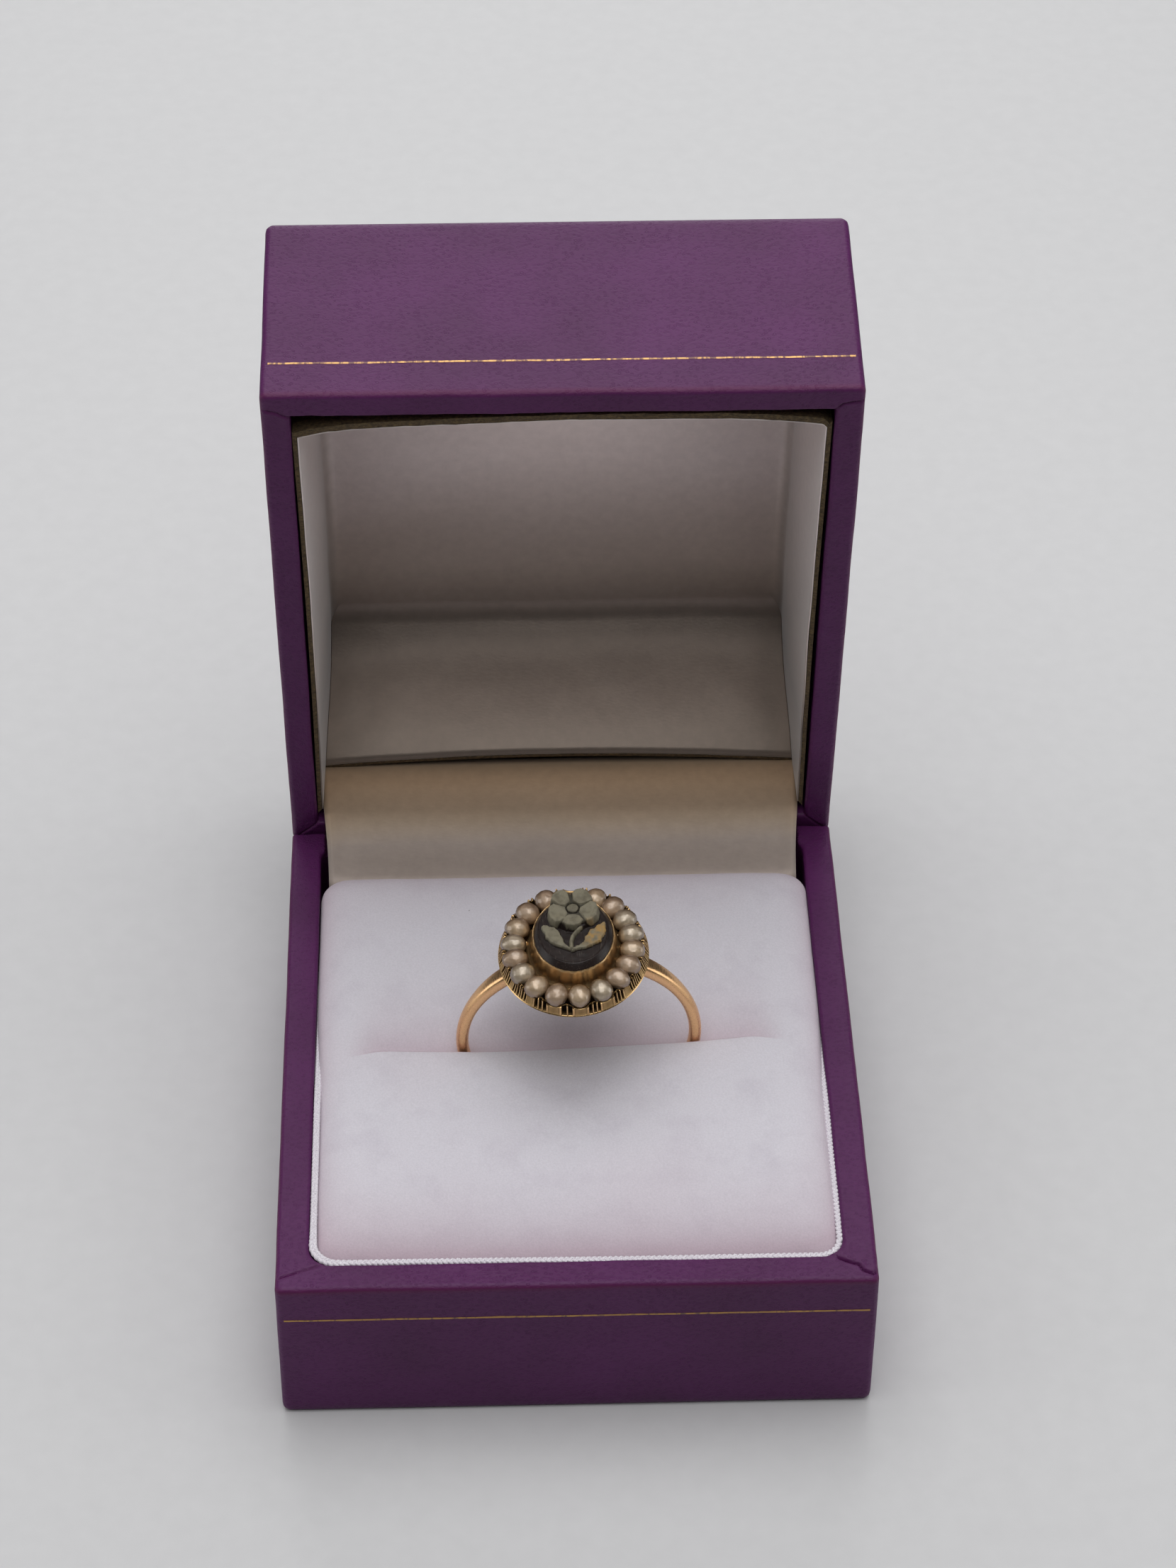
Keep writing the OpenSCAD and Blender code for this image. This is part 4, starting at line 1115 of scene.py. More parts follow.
def addHoop():
    points = []
    steps, sides = hoop["steps"], hoop["sides"]
    for k in range(steps):
        angle = 2 * math.pi * k / steps
        fromHead = abs((math.degrees(angle) - 90 + 180) % 360 - 180)
        shoulder = float(smooth(-fromHead, -hoop["shoulderFrom"], -hoop["shoulderFull"]))
        wide = hoop["wide"] + (hoop["shoulderWide"] - hoop["wide"]) * shoulder
        thick = hoop["thick"] + (hoop["shoulderThick"] - hoop["thick"]) * shoulder
        squared = 1.0 - hoop["filedSides"] * shoulder  # the filed shoulders are squarer than the worn shank
        outer = 1.0 - hoop["filedTop"] * shoulder
        for s in range(sides):
            t = 2 * math.pi * (s + 0.5) / sides
            c, n = math.cos(t), math.sin(t)
            radial = thick / 2 * math.copysign(abs(c) ** (hoop["inside"] if c < 0 else outer), c)
            axial = wide / 2 * math.copysign(abs(n) ** squared, n)
            r = ringStand["radius"] + radial
            points.append((r * math.cos(angle), axial, r * math.sin(angle)))
    points = np.array(points)
    points += hoop["worn"] * np.column_stack([ripple(points, hoop["wornSize"], s) for s in (1.0, 2.0, 3.0)])
    faces = []
    for a in range(steps):
        here, after = a * sides, (a + 1) % steps * sides
        faces += [(here + b, after + b, after + (b + 1) % sides, here + (b + 1) % sides) for b in range(sides)]
    piece = addPiece("ring_hoop", onRing(points), faces, ringGold, "base", sharp=60)
    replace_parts(piece, "ring_mount")


addHoop()


# angle round the head in degrees, size across, size outwards, lift, tone
pearls = [
    (-87.5, 1.74, 2.00, 0.00, 0), (-66, 1.72, 1.98, 0.02, 2), (-45, 1.62, 2.00, 0.00, 1),
    (-27, 1.64, 2.02, 0.00, 1), (-9.5, 1.66, 2.00, 0.00, 0), (8, 1.68, 1.98, 0.02, 2),
    (26, 1.66, 1.98, 0.00, 2), (44.5, 1.66, 2.00, 0.03, 1), (64, 1.70, 1.94, 0.00, 0),
    (88.5, 1.30, 1.30, -0.25, 0), (113, 1.74, 1.98, 0.02, 1), (136, 1.74, 2.00, 0.00, 1),
    (156, 1.70, 1.98, 0.02, 0), (174, 1.60, 2.00, 0.00, 2), (-169, 1.64, 2.02, 0.00, 1),
    (-150.5, 1.74, 2.00, 0.00, 2), (-130.5, 1.74, 2.02, 0.00, 0), (-109, 1.72, 1.98, 0.02, 1),
]
# a, b: half width and half length of the oval that they stand on. sunk: the pearl behind the flower.
# lumps: (how much, size across, seed step), coarse and fine. fuller: along and across the size measured
pearlSeat = {
    "a": 4.87, "b": 5.56, "left": 0.09, "forward": 0.12, "seat": 10.3, "height": 1.66, "foot": 0.06,
    "sunk": 10, "sunkBy": 0.3, "taper": 0.1, "lumps": ((0.045, 0.75, 3.7), (0.018, 0.28, 5.1)),
    "fuller": (1.06, 1.10), "seed": 900,
}
# each tone: body colour, the rim colour of painted shade and reflected gold, and roughness
pearlTones = [
    makePearl("pearl_cream", "#c0a788", "#664a2e", 0.38),
    makePearl("pearl_rosy", "#b59b80", "#61452b", 0.42),
    makePearl("pearl_silver", "#bdac93", "#604b34", 0.35),
]


def addPearl(number, angle, across, along, lift, tone):
    draw = random.Random(pearlSeat["seed"] + number)
    turn = math.radians(angle)
    ca, sa = math.cos(turn), math.sin(turn)
    place = np.array([pearlSeat["a"] * ca - pearlSeat["left"], pearlSeat["b"] * sa - pearlSeat["forward"],
                      pearlSeat["seat"] + pearlSeat["height"] / 2 + pearlSeat["foot"] + lift])
    if number == pearlSeat["sunk"]:
        place[1] -= pearlSeat["sunkBy"]
    out = np.array([pearlSeat["b"] * ca, pearlSeat["a"] * sa, 0])
    out /= np.linalg.norm(out)
    side = np.array([-out[1], out[0], 0])
    work = bmesh.new()
    bmesh.ops.create_icosphere(work, subdivisions=5, radius=1.0)
    shape = np.array([v.co[:] for v in work.verts])
    faces = [tuple(v.index for v in f.verts) for f in work.faces]
    work.free()
    taper = draw.uniform(-pearlSeat["taper"], pearlSeat["taper"])
    lumps = 1
    for much, size, step in pearlSeat["lumps"]:
        lumps = lumps + much * ripple(shape, size, number * step)
    local = shape * lumps[:, None]
    local[:, 1] *= 1 + taper * local[:, 0]
    local[:, 2] *= 1 + 0.5 * taper * local[:, 0]
    longer, wider = pearlSeat["fuller"]
    local *= np.array([along * longer, across * wider, across]) / 2
    local[:, 2] = np.maximum(local[:, 2], -pearlSeat["height"] / 2 - lift)
    world = place + local[:, :1] * out + local[:, 1:2] * side + local[:, 2:] * np.array([0, 0, 1.0])
    piece = addPiece("pearl_real_%02d" % number, onRing(world), faces, pearlTones[tone], "base")
    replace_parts(piece, "pearl_%02d" % number)


for number, row in enumerate(pearls, 1):
    addPearl(number, *row)
print("hoop and pearls done")


# half widths of the plates under the pearls, and places of the ribs, are shares of the gap between pearls
gallery = {
    "a": 6.18, "b": 6.87, "left": 0.08, "foot": 9.95, "footTop": 10.13, "wallTop": 11.3, "scallop": 0.5,
    "leanFront": 0.06, "leanSide": 0.4, "rib": 0.24, "wall": 0.2, "seed": 40,
    "sidePlate": (0.1, 0.16), "sideRibs": (0.24, 0.37, 0.5, 0.63, 0.76),
    "frontPlate": (0.25, 0.31), "frontRibs": [(0.5,), (0.43, 0.57), (0.5,), (0.42, 0.58)],
    "ribSway": 0.015, "ribHigh": (0.8, 1.0),
}


def galleryColumns():
    # angle, how far the metal stands proud there, how near a pearl's middle, and how dark: grime and painted shade
    angles = sorted(math.radians(p[0]) % (2 * math.pi) for p in pearls)
    columns = []
    for k, here in enumerate(angles):
        after = angles[(k + 1) % len(angles)] + (2 * math.pi if k == len(angles) - 1 else 0)
        draw = random.Random(gallery["seed"] + k)
        ribbed = abs(math.cos((here + after) / 2)) > 0.6  # the two sides are nearly all ribs
        halfPlate = draw.uniform(*gallery["sidePlate" if ribbed else "frontPlate"])
        # a plate under the pearl with a raised border, then thin ribs over a hollow painted black as shade
        plate = [(0.0, 0.8, 0.45), (0.5, 0.8, 0.35), (0.72, 0.84, 0.5), (0.8, 1.0, 0.0), (0.97, 1.0, 0.0),
                 (1.03, 0.0, 1.0)]
        rib = [(-0.036, 0.0), (-0.02, 0.95), (0.0, 1.0), (0.02, 0.95), (0.036, 0.0)]
        profile = [(t * halfPlate, proud, dirt) for t, proud, dirt in plate]
        ribs = gallery["sideRibs"] if ribbed else draw.choice(gallery["frontRibs"])
        for middle in ribs:
            middle += draw.uniform(-gallery["ribSway"], gallery["ribSway"])
            high = draw.uniform(*gallery["ribHigh"])
            profile += [(middle + t, high * proud, 1.0 - proud) for t, proud in rib]
        profile += [(1 - t * halfPlate, proud, dirt) for t, proud, dirt in plate[:0:-1]]
        for t, proud, dirt in profile:
            columns.append((here + (after - here) * t, proud, abs(math.cos(math.pi * t)), dirt))
    return columns


def ovalPoint(a, b, angle, inset):
    # a place inset square to the side of an ellipse
    c, s = math.cos(angle), math.sin(angle)
    out = np.array([b * c, a * s])
    out /= np.linalg.norm(out)
    return np.array([a * c, b * s]) - out * inset


def loftOval(name, columns, rows, plan, material, sharp):
    # rows are functions of a column giving its inset, height and darkening by grime and painted shade; the last row
    # joins the first
    a, b, left = plan
    points, dirt = [], []
    for row in rows:
        for column in columns:
            inset, height, dull = row(column)
            x, y = ovalPoint(a, b, column[0], inset)
            points.append((x - left, y, height))
            dirt.append(dull)
    count, last = len(columns), (len(rows) - 1) * len(columns)
    faces = gridFaces(len(rows), count, wrap=True)
    faces += bandFaces(range(last, last + count), range(count))
    piece = addPiece(name, onRing(points), faces, material, "base", sharp=sharp, marks={"dirt": dirt})
    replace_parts(piece, "ring_mount")


def addGallery():
    columns = galleryColumns()
    rib, wall = gallery["rib"], gallery["wall"]

    def leanOf(c):
        aside = max(abs(math.cos(c[0])), math.sin(c[0])) ** 1.5
        return gallery["leanFront"] + (gallery["leanSide"] - gallery["leanFront"]) * aside

    def topOf(c):
        wobble = 0.06 * rippleRound(c[0], 9, 1.0)
        return gallery["wallTop"] - gallery["scallop"] * c[2] ** 1.5 + wobble - 0.1 * (1 - c[1])

    def wallRow(share, out=0.0):
        depth = min(1.0, 0.3 + 3 * share)
        low = gallery["footTop"]
        return lambda c: (leanOf(c) * share + rib * (1 - c[1]) * depth - out,
                          low + (topOf(c) - low) * share, min(1.0, c[3] * depth * 1.2))

    # a rounded foot, the ribbed wall up to its scalloped top, then down the inside: inset, height, grime and
    # painted shade
    foot = [(0.55, 0.0), (0.14, 0.0), (0.04, 0.02), (0.0, 0.07), (-0.01, 0.11), (0.02, 0.16), (0.06, 0.19)]
    rows = [lambda c, f=f: (f[0], gallery["foot"] + f[1], 0.0) for f in foot]
    # old polish and painted shade in the angle over the foot
    rows += [lambda c: (0.09, gallery["footTop"] + 0.02, 0.9)]  # polish left in the angle over the foot
    rows += [wallRow(share) for share in (0.06, 0.15, 0.35, 0.6, 0.82)] + [wallRow(0.94, 0.02)]
    rows += [lambda c: (leanOf(c) + 0.04 + rib * (1 - c[1]), topOf(c) + 0.01, c[3] * 0.5)]
    rows += [lambda c: (leanOf(c) + wall + rib * (1 - c[1]) * 0.5, topOf(c) - 0.02, c[3] * 0.6)]
    # down the inside the wall is painted dark as shade
    rows += [lambda c: (leanOf(c) + wall + 0.08, 10.85, 0.9), lambda c: (leanOf(c) + wall + 0.1, 10.35, 1.0)]
    rows += [lambda c: (0.55, 10.2, 1.0)]
    loftOval("ring_gallery", columns, rows, (gallery["a"], gallery["b"], gallery["left"]), mountGold, 32)


# inner and outer edge as a share of the gallery's inside, and the gold pushed up between the pearls
seat = {
    "inner": 0.55, "outer": 0.93, "rows": 24, "columns": 260, "underside": 9.97, "lift": 0.05,
    "bumpAt": (0.80, 1.13), "bumpTall": 0.5, "bumpWide": 0.24,
    "rough": 0.16, "roughSize": 0.32, "uneven": 0.1, "unevenSize": 0.9,
}


def addSeat():
    # the plate that the pearls sit on, rough from the setter's graver
    count = seat["columns"]
    turn = np.linspace(0, 2 * math.pi, count, endpoint=False)
    a, b = gallery["a"] - gallery["wall"], gallery["b"] - gallery["wall"]
    plate = []
    for share in np.linspace(seat["inner"], seat["outer"], seat["rows"]):
        x, y = a * share * np.cos(turn), b * share * np.sin(turn)
        plate.append(np.column_stack([x - gallery["left"], y, np.full(count, pearlSeat["seat"])]))
    flat = np.concatenate(plate)
    rise = seat["rough"] * np.maximum(ripple(flat, seat["roughSize"], 3.0), -0.3)
    rise += seat["uneven"] * ripple(flat, seat["unevenSize"], 5.0)
    for here, after in zip(pearls, pearls[1:] + pearls[:1]):
        middle = math.radians(here[0] + (after[0] - here[0]) % 360 / 2)
        tall = seat["bumpTall"] * (1 - 0.7 * smooth(math.sin(middle), 0.2, 0.9))  # lower at the back
        for part in seat["bumpAt"]:
            x = pearlSeat["a"] * part * math.cos(middle) - pearlSeat["left"]
            y = pearlSeat["b"] * part * math.sin(middle) - pearlSeat["forward"]
            rise += tall * np.exp(-(np.hypot(flat[:, 0] - x, flat[:, 1] - y) / seat["bumpWide"]) ** 2)
    flat[:, 2] += seat["lift"] + rise
    # darker where the plate lies low between the bumps: old polish and painted shade
    dirt = 1 - smooth(rise, 0.02, 0.34)
    inner, outer = flat[:count].copy(), flat[-count:].copy()
    inner[:, 2] = outer[:, 2] = seat["underside"]
    points = np.concatenate([inner, flat, outer])
    edge = np.ones(count)
    last = len(points) - count
    faces = gridFaces(seat["rows"] + 2, count, wrap=True)
    faces += bandFaces(range(last, last + count), range(count))
    piece = addPiece("ring_seat", onRing(points), faces, bezelGold, "base", sharp=60,
                     marks={"dirt": np.concatenate([edge, dirt, edge])})
    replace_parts(piece, "ring_mount")


# waves: (bumps in a radian, seed) of the hand's unevenness, from broad to fine
bezel = {
    "a": 3.68, "b": 4.43, "foot": 10.2, "top": 12.42, "lean": 0.33, "facets": 24, "facet": 0.05, "lip": 0.08,
    "waves": ((2.2, 6.0), (8, 2.0), (24, 4.0)), "steps": 320,
}


def addBezel():
    columns = []
    for k in range(bezel["steps"]):
        angle = 2 * math.pi * k / bezel["steps"]
        wave, nick, fine = (rippleRound(angle, bumps, seed) for bumps, seed in bezel["waves"])
        hammered = abs(math.sin(bezel["facets"] / 2 * angle + 1.3 * wave)) * (0.75 + 0.5 * nick)
        columns.append((angle, hammered, wave, nick, fine))
    lean, facet, lip = bezel["lean"], bezel["facet"], bezel["lip"]

    def rim(c):
        return bezel["top"] + 0.1 * c[2] + 0.06 * c[3] + 0.012 * c[4]

    def side(share, depth):
        dull = 0.4 * (1 - smooth(share, 0.3, 0.5))
        return lambda c: (lean * share ** 1.3 + facet * (1 - c[1]) * depth + 0.04 * c[3] * share,
                          bezel["foot"] + (rim(c) - bezel["foot"]) * share, float(dull))

    # rows of inset, height and darkening: gold worked up against its foot, darkened by old polish and painted
    # shade, the fluted side, the rim and the inside, which is painted dark as shade
    rows = [lambda c: (-0.34, bezel["foot"], 1.0), lambda c: (-0.3, bezel["foot"] + 0.3 + 0.1 * c[3], 0.8)]
    rows += [lambda c: (-0.12, bezel["foot"] + 0.52 + 0.1 * c[3], 0.5),
             lambda c: (0.0, bezel["foot"] + 0.58 + 0.08 * c[3], 0.75)]
    flutes = ((0.36, 0.9), (0.45, 1.0), (0.58, 1.3), (0.7, 1.5), (0.8, 1.2), (0.9, 0.6), (0.97, 0.2))
    rows += [side(share, depth) for share, depth in flutes]
    rows += [lambda c: (lean + 0.03 + 0.02 * c[4], rim(c), 0.1),
             lambda c: (lean + lip + 0.02 * c[4], rim(c) - 0.01, 0.3)]
    rows += [lambda c: (lean + lip + 0.06, rim(c) - 0.08, 0.8), lambda c: (lean + lip, 11.6, 1.0)]
    rows += [lambda c: (lean + lip, bezel["foot"], 1.0)]
    loftOval("ring_bezel", columns, rows, (bezel["a"], bezel["b"], 0.0), bezelGold, 50)


addGallery()
addSeat()
addBezel()
print("mount done")


cameo = {
    "a": 3.24, "b": 3.98, "foot": 10.36, "ground": 12.85, "bevel": 0.4, "bevelDrop": 0.46, "moat": 0.03,
    "inward": 3.55,  # about how far the middle is from the stone's edge
    "flower": (0.08, 1.9), "flowerHeight": 0.9, "flowerReach": 1.75, "petalHollow": 0.13, "petalFold": 0.05,
    "discRound": 0.54, "discHeight": 0.8, "discCut": 0.16, "cutWide": 0.06,
    "leafHeight": 0.38, "stemHeight": 0.42, "stemHalf": 0.19, "pinchSide": 0.24, "pinchDown": 0.48,
    "petals": [
        [(-0.07, 2.54), (-0.31, 2.12), (-1.02, 2.17), (-1.45, 2.62), (-1.67, 2.83), (-1.52, 3.31),
         (-1.06, 3.71), (-0.52, 3.76), (-0.18, 3.34)],
        [(0.11, 2.64), (0.09, 3.32), (0.37, 3.69), (0.91, 3.78), (1.43, 3.47), (1.72, 2.9), (1.79, 2.4),
         (1.3, 2.28), (0.85, 2.19), (0.5, 2.2)],
        [(-1.87, 2.1), (-1.46, 2.38), (-0.93, 2.2), (-0.5, 2.0), (-0.36, 1.44), (-0.54, 0.85), (-0.99, 0.45),
         (-1.44, 0.42), (-1.78, 0.81), (-1.96, 1.43)],
        [(0.58, 1.85), (1.11, 2.17), (1.57, 2.4), (2.01, 2.31), (2.19, 1.69), (2.04, 0.9), (1.58, 0.45),
         (1.13, 0.36), (0.8, 0.99), (0.56, 1.45)],
        [(-0.75, 0.85), (-0.35, 1.2), (0.1, 1.28), (0.6, 1.05), (0.88, 0.55), (0.62, 0.12), (0.1, -0.05),
         (-0.5, 0.05), (-0.86, 0.42)],
    ],
    "leftLeaf": [
        (-0.1, -2.75), (-0.75, -2.36), (-1.18, -2.11), (-1.53, -1.9), (-1.87, -1.52), (-2.0, -1.27),
        (-2.21, -1.07), (-2.28, -0.52), (-2.49, -0.14), (-2.61, 0.38), (-2.42, 0.62), (-2.07, 0.6),
        (-1.81, 0.35), (-1.46, 0.27), (-1.08, -0.25), (-0.92, -0.8), (-0.71, -1.18), (-0.64, -1.72), (-0.2, -2.3),
    ],
    "rightLeaf": [
        (-0.12, -2.8), (0.03, -2.9), (0.48, -2.66), (1.1, -2.6), (1.64, -2.3), (2.0, -2.03), (2.35, -1.82),
        (2.42, -1.45), (2.62, -1.13), (2.76, -0.54), (2.72, -0.04), (2.72, 0.47), (2.52, 0.68), (2.33, 0.36),
        (2.01, 0.26), (1.72, -0.2), (1.36, -0.3), (1.21, -0.89), (0.98, -1.12), (0.86, -1.83), (0.5, -2.16),
        (0.1, -2.38),
    ],
    "stem": [(1.2, 0.66), (0.94, 0.34), (0.57, -0.12), (0.24, -0.58), (0.01, -1.05), (-0.1, -1.64), (-0.06, -2.5)],
    "columns": 190, "rows": 230,
}


def cutDistance(x, y, start, end):
    # distance to one straight cut of the graver
    (ax, ay), (bx, by) = start, end
    t = np.clip(((x - ax) * (bx - ax) + (y - ay) * (by - ay)) / ((bx - ax) ** 2 + (by - ay) ** 2), 0, 1)
    return np.hypot(x - ax - t * (bx - ax), y - ay - t * (by - ay))


def insideDistance(x, y, outline):
    # distance to an outline, positive inside it
    inside = np.zeros(x.shape, bool)
    best = np.full(x.shape, farOff)
    for (ax, ay), (bx, by) in zip(outline, outline[1:] + outline[:1]):
        best = np.minimum(best, cutDistance(x, y, (ax, ay), (bx, by)))
        crosses = (ay > y) != (by > y)
        with np.errstate(divide="ignore", invalid="ignore"):
            inside ^= crosses & (x < (bx - ax) * (y - ay) / (by - ay) + ax)
    return np.where(inside, best, -best)


def lineDistance(x, y, path):
    best = np.full(x.shape, farOff)
    for start, end in zip(path, path[1:]):
        best = np.minimum(best, cutDistance(x, y, start, end))
    return best


def carve(x, y):
    # height of the carving above the black ground, and how much of a groove each place is
    rough, coarse = rippleOver(x, y, 0.13, 4.0), rippleOver(x, y, 0.5, 7.0)
    tall, disc = cameo["flowerHeight"], cameo["discRound"]
    dx, dy = x - cameo["flower"][0], y - cameo["flower"][1]
    reach = np.hypot(dx, dy)
    flower = np.zeros(x.shape)
    closest = np.full(x.shape, -farOff)
    for outline in cameo["petals"]:
        middle = np.mean(outline, axis=0)
        way = middle - np.array(cameo["flower"])
        length = np.hypot(*way)
        way /= length
        along = dx * way[0] + dy * way[1]
        across = -dx * way[1] + dy * way[0]
        depth = insideDistance(x + 0.02 * rough, y + 0.02 * rough, outline) + 0.06
        closest = np.maximum(closest, depth)
        rounded = smooth(depth, -0.07, 0.15) ** 0.75
        hollow = cameo["petalHollow"] * np.exp(-(((along - length * 0.95) / 0.36) ** 2 + (across / 0.4) ** 2))
        fold = cameo["petalFold"] * np.exp(
            -((along - length * 1.28 + 0.3 * across ** 2) / 0.08) ** 2 - (across / 0.4) ** 2)
        body = (tall + 0.09 * dy) * (0.9 + 0.1 * smooth(along, 0.7, 1.4)) - hollow - fold + 0.03 * coarse
        flower = np.maximum(flower, body * rounded)
    inFlower = smooth(cameo["flowerReach"] - reach, -0.25, 0.1)
    groove = (1 - smooth(closest, 0.03, 0.11)) * inFlower
    flower = np.maximum(flower, 0.66 * inFlower * smooth(closest, -0.2, -0.1))
    cut = np.exp(-((reach - disc) / cameo["cutWide"]) ** 2)
    button = cameo["discHeight"] - 0.12 * (reach / disc) ** 2 + 0.02 * rough
    flower = np.where(reach < disc, button, flower) - cameo["discCut"] * cut * (reach < disc + 0.1)
    groove = np.where(reach < disc - 0.08, 0.12, np.maximum(groove, cut))
    leaves = np.zeros(x.shape)
    # leaves and stem draw together towards their foot
    pinch = np.clip(0.66 - y, 0, 4) / 3.4
    x, y = x + cameo["pinchSide"] * pinch, y - cameo["pinchDown"] * pinch
    for outline in (cameo["leftLeaf"], cameo["rightLeaf"]):
        depth = insideDistance(x + 0.05 * rough, y - 0.04 * rough, outline)
        leaf = cameo["leafHeight"] * smooth(depth, -0.04, 0.12) * (0.86 + 0.14 * smooth(depth, 0.1, 0.4))
        leaves = np.maximum(leaves, leaf + 0.02 * coarse * smooth(depth, 0.0, 0.2))
    fromStem = lineDistance(x, y, cameo["stem"]) / cameo["stemHalf"]
    stem = cameo["stemHeight"] * np.sqrt(np.clip(1 - fromStem ** 2, 0, 1))
    top = np.maximum(np.maximum(flower, leaves), stem)
    top = top + 0.014 * rough * smooth(top, 0.1, 0.3)
    return top, groove * smooth(flower, 0.1, 0.3)


def addCameo():
    u, v = np.meshgrid(np.linspace(-1, 1, cameo["columns"]), np.linspace(-1, 1, cameo["rows"]))
    sx, sy = u * np.sqrt(1 - v * v / 2), v * np.sqrt(1 - u * u / 2)
    x, y = cameo["a"] * sx, cameo["b"] * sy
    inward = (1 - np.hypot(sx, sy)) * cameo["inward"]
    ground = cameo["ground"] - cameo["bevelDrop"] * (1 - np.clip(inward / cameo["bevel"], 0, 1)) ** 1.1
    ground -= cameo["moat"] * smooth(inward, cameo["bevel"] + 0.03, cameo["bevel"] + 0.12)
    ground += 0.012 * rippleOver(x, y, 0.5, 2.0) * smooth(inward, 0.6, 0.9)
    top, groove = carve(x, y)
    z = np.maximum(ground, np.where(top > 0.02, cameo["ground"] + top, 0) * smooth(inward, 0.0, 0.06))
    # the flower stands so tall that its cut sides run down into the black layer
    reach = np.hypot(x - cameo["flower"][0], y - cameo["flower"][1])
    low = 0.07 + 0.42 * smooth(y, -0.45, 0.1) * smooth(1.9 - reach, -0.2, 0.1)
    relief = smooth(top - low, 0.0, 0.12) * smooth(inward, 0.02, 0.08)
    # the right leaf is stained brown in patches
    stain = smooth(x, 0.4, 1.5) * smooth(-y, -0.9, 0.2) * smooth(y, -2.7, -1.2)
    stain *= 1.5 + 2.2 * rippleOver(x, y, 0.35, 6.0)
    surface = np.stack([x, y, z], -1).reshape(-1, 3)
    border = gridBorder(cameo["rows"], cameo["columns"])
    wall = surface[border]
    wall[:, 2] = cameo["foot"]
    foot = range(len(surface), len(surface) + len(border))
    faces = gridFaces(cameo["rows"], cameo["columns"]) + bandFaces(border, foot) + [tuple(foot)]
    marks = {"relief": relief, "stain": stain, "hollow": 0.85 * np.clip(groove, 0, 1)}
    marks = {name: np.concatenate([mark.ravel(), np.zeros(len(border))]) for name, mark in marks.items()}
    points = onRing(np.concatenate([surface, wall]))
    piece = addPiece("cameo_carved", points, faces, hardstone, "base", marks=marks)
    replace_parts(piece, "cameo")


addCameo()
print("cameo done")


# metres and watts; toothMm is in millimetres
studio = {
    "floor": "#d4d4d5", "floorShade": "#d1d1d2", "toothMm": 2.0, "floorSize": 0.8, "floorSides": 128,
    "skyTint": "#f0eff2", "sky": 0.055, "wall": 0.6, "aim": (0, 0, 0.02),
}
softboxes = {
    "overBack": {"place": (0.0, 0.14, 0.48), "size": 0.42, "power": 1.06},
    "overFront": {"place": (0.0, -0.18, 0.47), "size": 0.38, "power": 0.78},
    "overLeft": {"place": (-0.30, 0.0, 0.42), "size": 0.36, "power": 0.18},
    "overRight": {"place": (0.30, 0.0, 0.42), "size": 0.36, "power": 0.22},
    "left": {"place": (-0.55, 0.0, 0.16), "size": 0.35, "power": 0.52},
    "right": {"place": (0.55, 0.0, 0.16), "size": 0.35, "power": 0.52},
    "behind": {"place": (0.0, 0.50, 0.22), "size": 0.40, "power": 0.90},
}


def makePaper():
    # Seamless background paper, rolled pulp: matt, with a barely seen tooth
    material, tree, place = newMaterial("backdrop_paper")
    tooth = addNode(tree, "TexNoise", {"Scale": perMm(studio["toothMm"]), "Detail": 4.0}, {"Vector": place})
    tone = addNode(tree, "ValToRGB",
                   {"stops": [(0.3, linear(studio["floorShade"])), (0.7, linear(studio["floor"]))]},
                   {"Fac": tooth.outputs["Fac"]})
    surface = addNode(tree, "BsdfPrincipled", {"Roughness": 0.9, "Specular IOR Level": 0.2},
                      {"Base Color": tone.outputs["Color"]})
    addNode(tree, "OutputMaterial", {}, {"Surface": surface.outputs["BSDF"]})
    return material


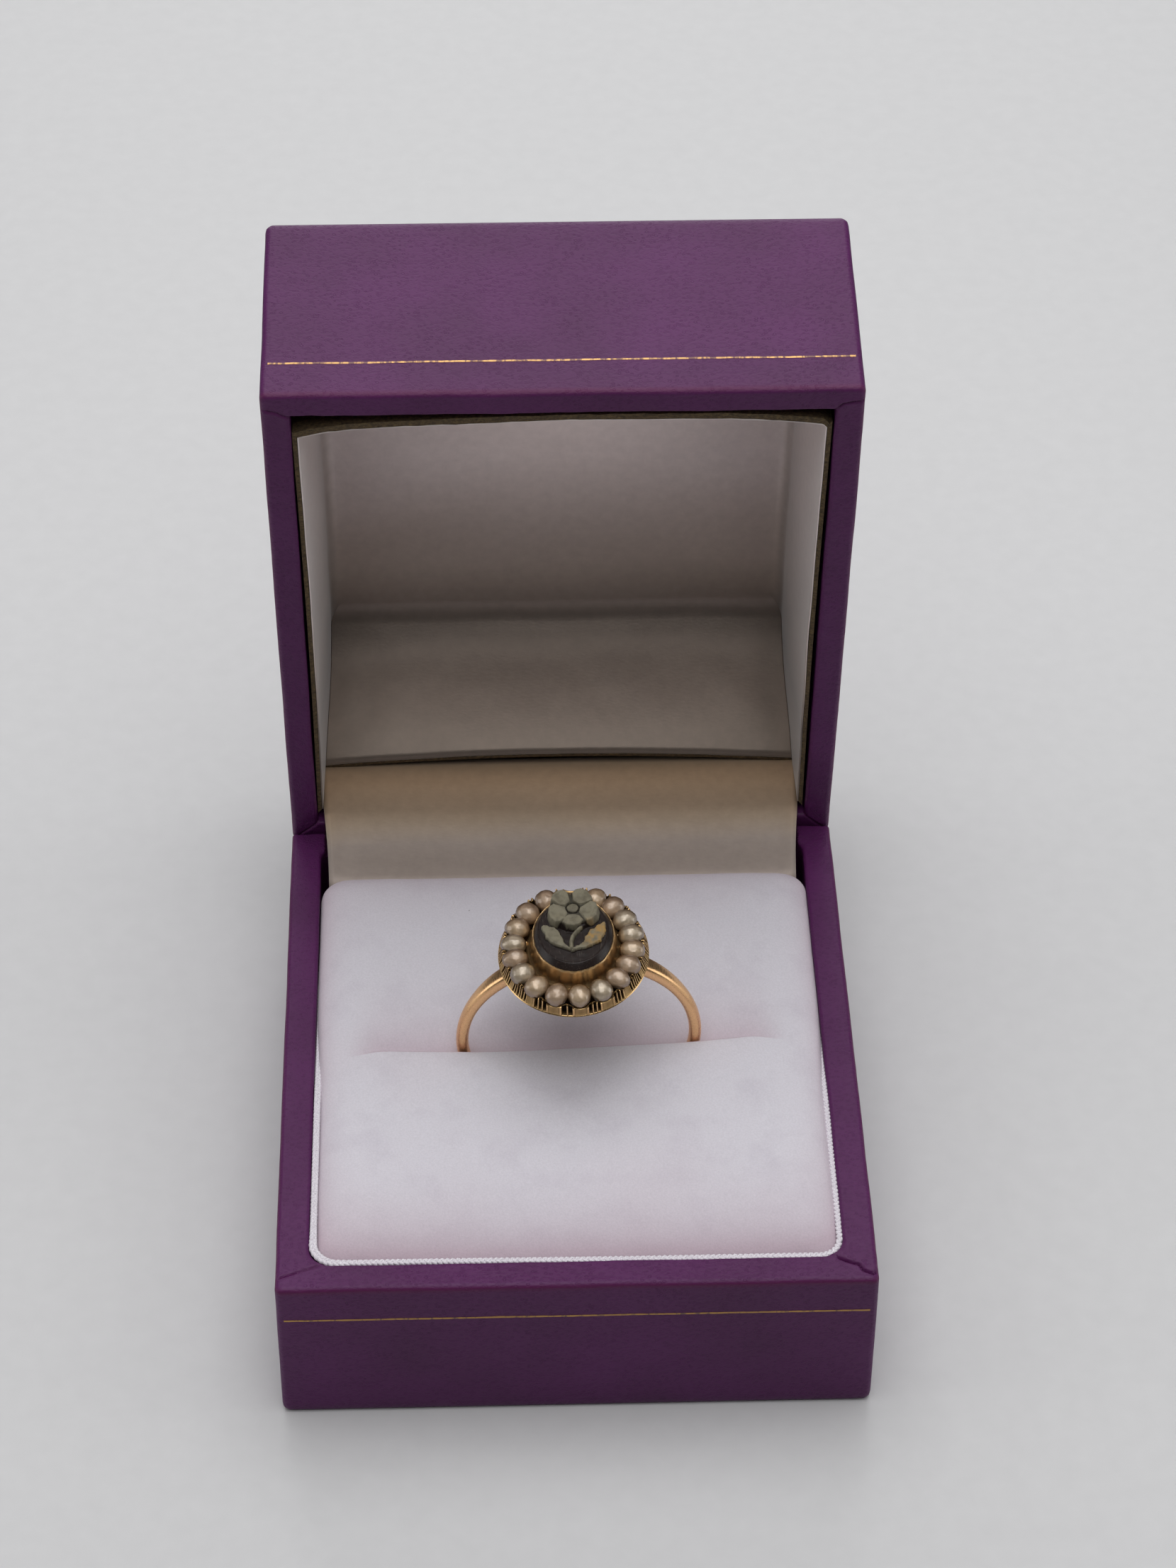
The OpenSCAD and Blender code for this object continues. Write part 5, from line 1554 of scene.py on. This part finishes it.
def addFloor():
    sides = studio["floorSides"]
    turn = np.linspace(0, 2 * math.pi, sides, endpoint=False)
    rim = np.column_stack([np.cos(turn), np.sin(turn), np.zeros(sides)]) * studio["floorSize"] / 2
    mesh = bpy.data.meshes.new("floor")
    mesh.from_pydata(rim.tolist(), [], [tuple(range(sides))])
    mesh.materials.append(makePaper())
    floor = bpy.data.objects.new("floor", mesh)
    bpy.context.collection.objects.link(floor)


def addLight(name, light):
    data = bpy.data.lights.new(name, "AREA")
    data.shape = "DISK"
    data.size, data.energy = light["size"], light["power"]
    lamp = bpy.data.objects.new(name, data)
    lamp.location = light["place"]
    lamp.rotation_euler = (Vector(studio["aim"]) - lamp.location).to_track_quat("-Z", "Y").to_euler()
    bpy.context.collection.objects.link(lamp)


# place and lens in millimetres, turns in degrees
view = {"place": (-6.29, -232.22, 250.85), "yaw": 1.92, "pitch": 41.712, "roll": 0.351, "lens": 89.9}


def addCamera():
    yaw, pitch, roll = (math.radians(view[k]) for k in ("yaw", "pitch", "roll"))
    ahead = Vector((math.sin(yaw) * math.cos(pitch), math.cos(yaw) * math.cos(pitch), -math.sin(pitch)))
    right = Vector((math.cos(yaw), -math.sin(yaw), 0))
    up = right.cross(ahead)
    right, up = math.cos(roll) * right + math.sin(roll) * up, math.cos(roll) * up - math.sin(roll) * right
    data = bpy.data.cameras.new("camera")
    data.lens, data.clip_start = view["lens"], 0.01
    camera = bpy.data.objects.new("camera", data)
    turn = Matrix((right, up, -ahead)).transposed().to_4x4()
    camera.matrix_world = Matrix.Translation(Vector(view["place"]) * mm) @ turn
    bpy.context.collection.objects.link(camera)
    bpy.context.scene.camera = camera


addFloor()
for name, light in softboxes.items():
    addLight(name + "_softbox", light)
world = bpy.data.worlds.new("studio")
world.use_nodes = True
room = world.node_tree.nodes["Background"]
room.inputs["Color"].default_value = linear(studio["skyTint"])
# the pale wall behind the floor is seen, but adds little light of its own
seen = addNode(world.node_tree, "LightPath")
strength = addNode(world.node_tree, "Math", {"operation": "MULTIPLY_ADD", 1: studio["wall"], 2: studio["sky"]},
                   {0: seen.outputs["Is Camera Ray"]})
world.node_tree.links.new(strength.outputs["Value"], room.inputs["Strength"])
bpy.context.scene.world = world
bpy.context.scene.view_settings.view_transform = "Standard"
addCamera()
print("stage done")
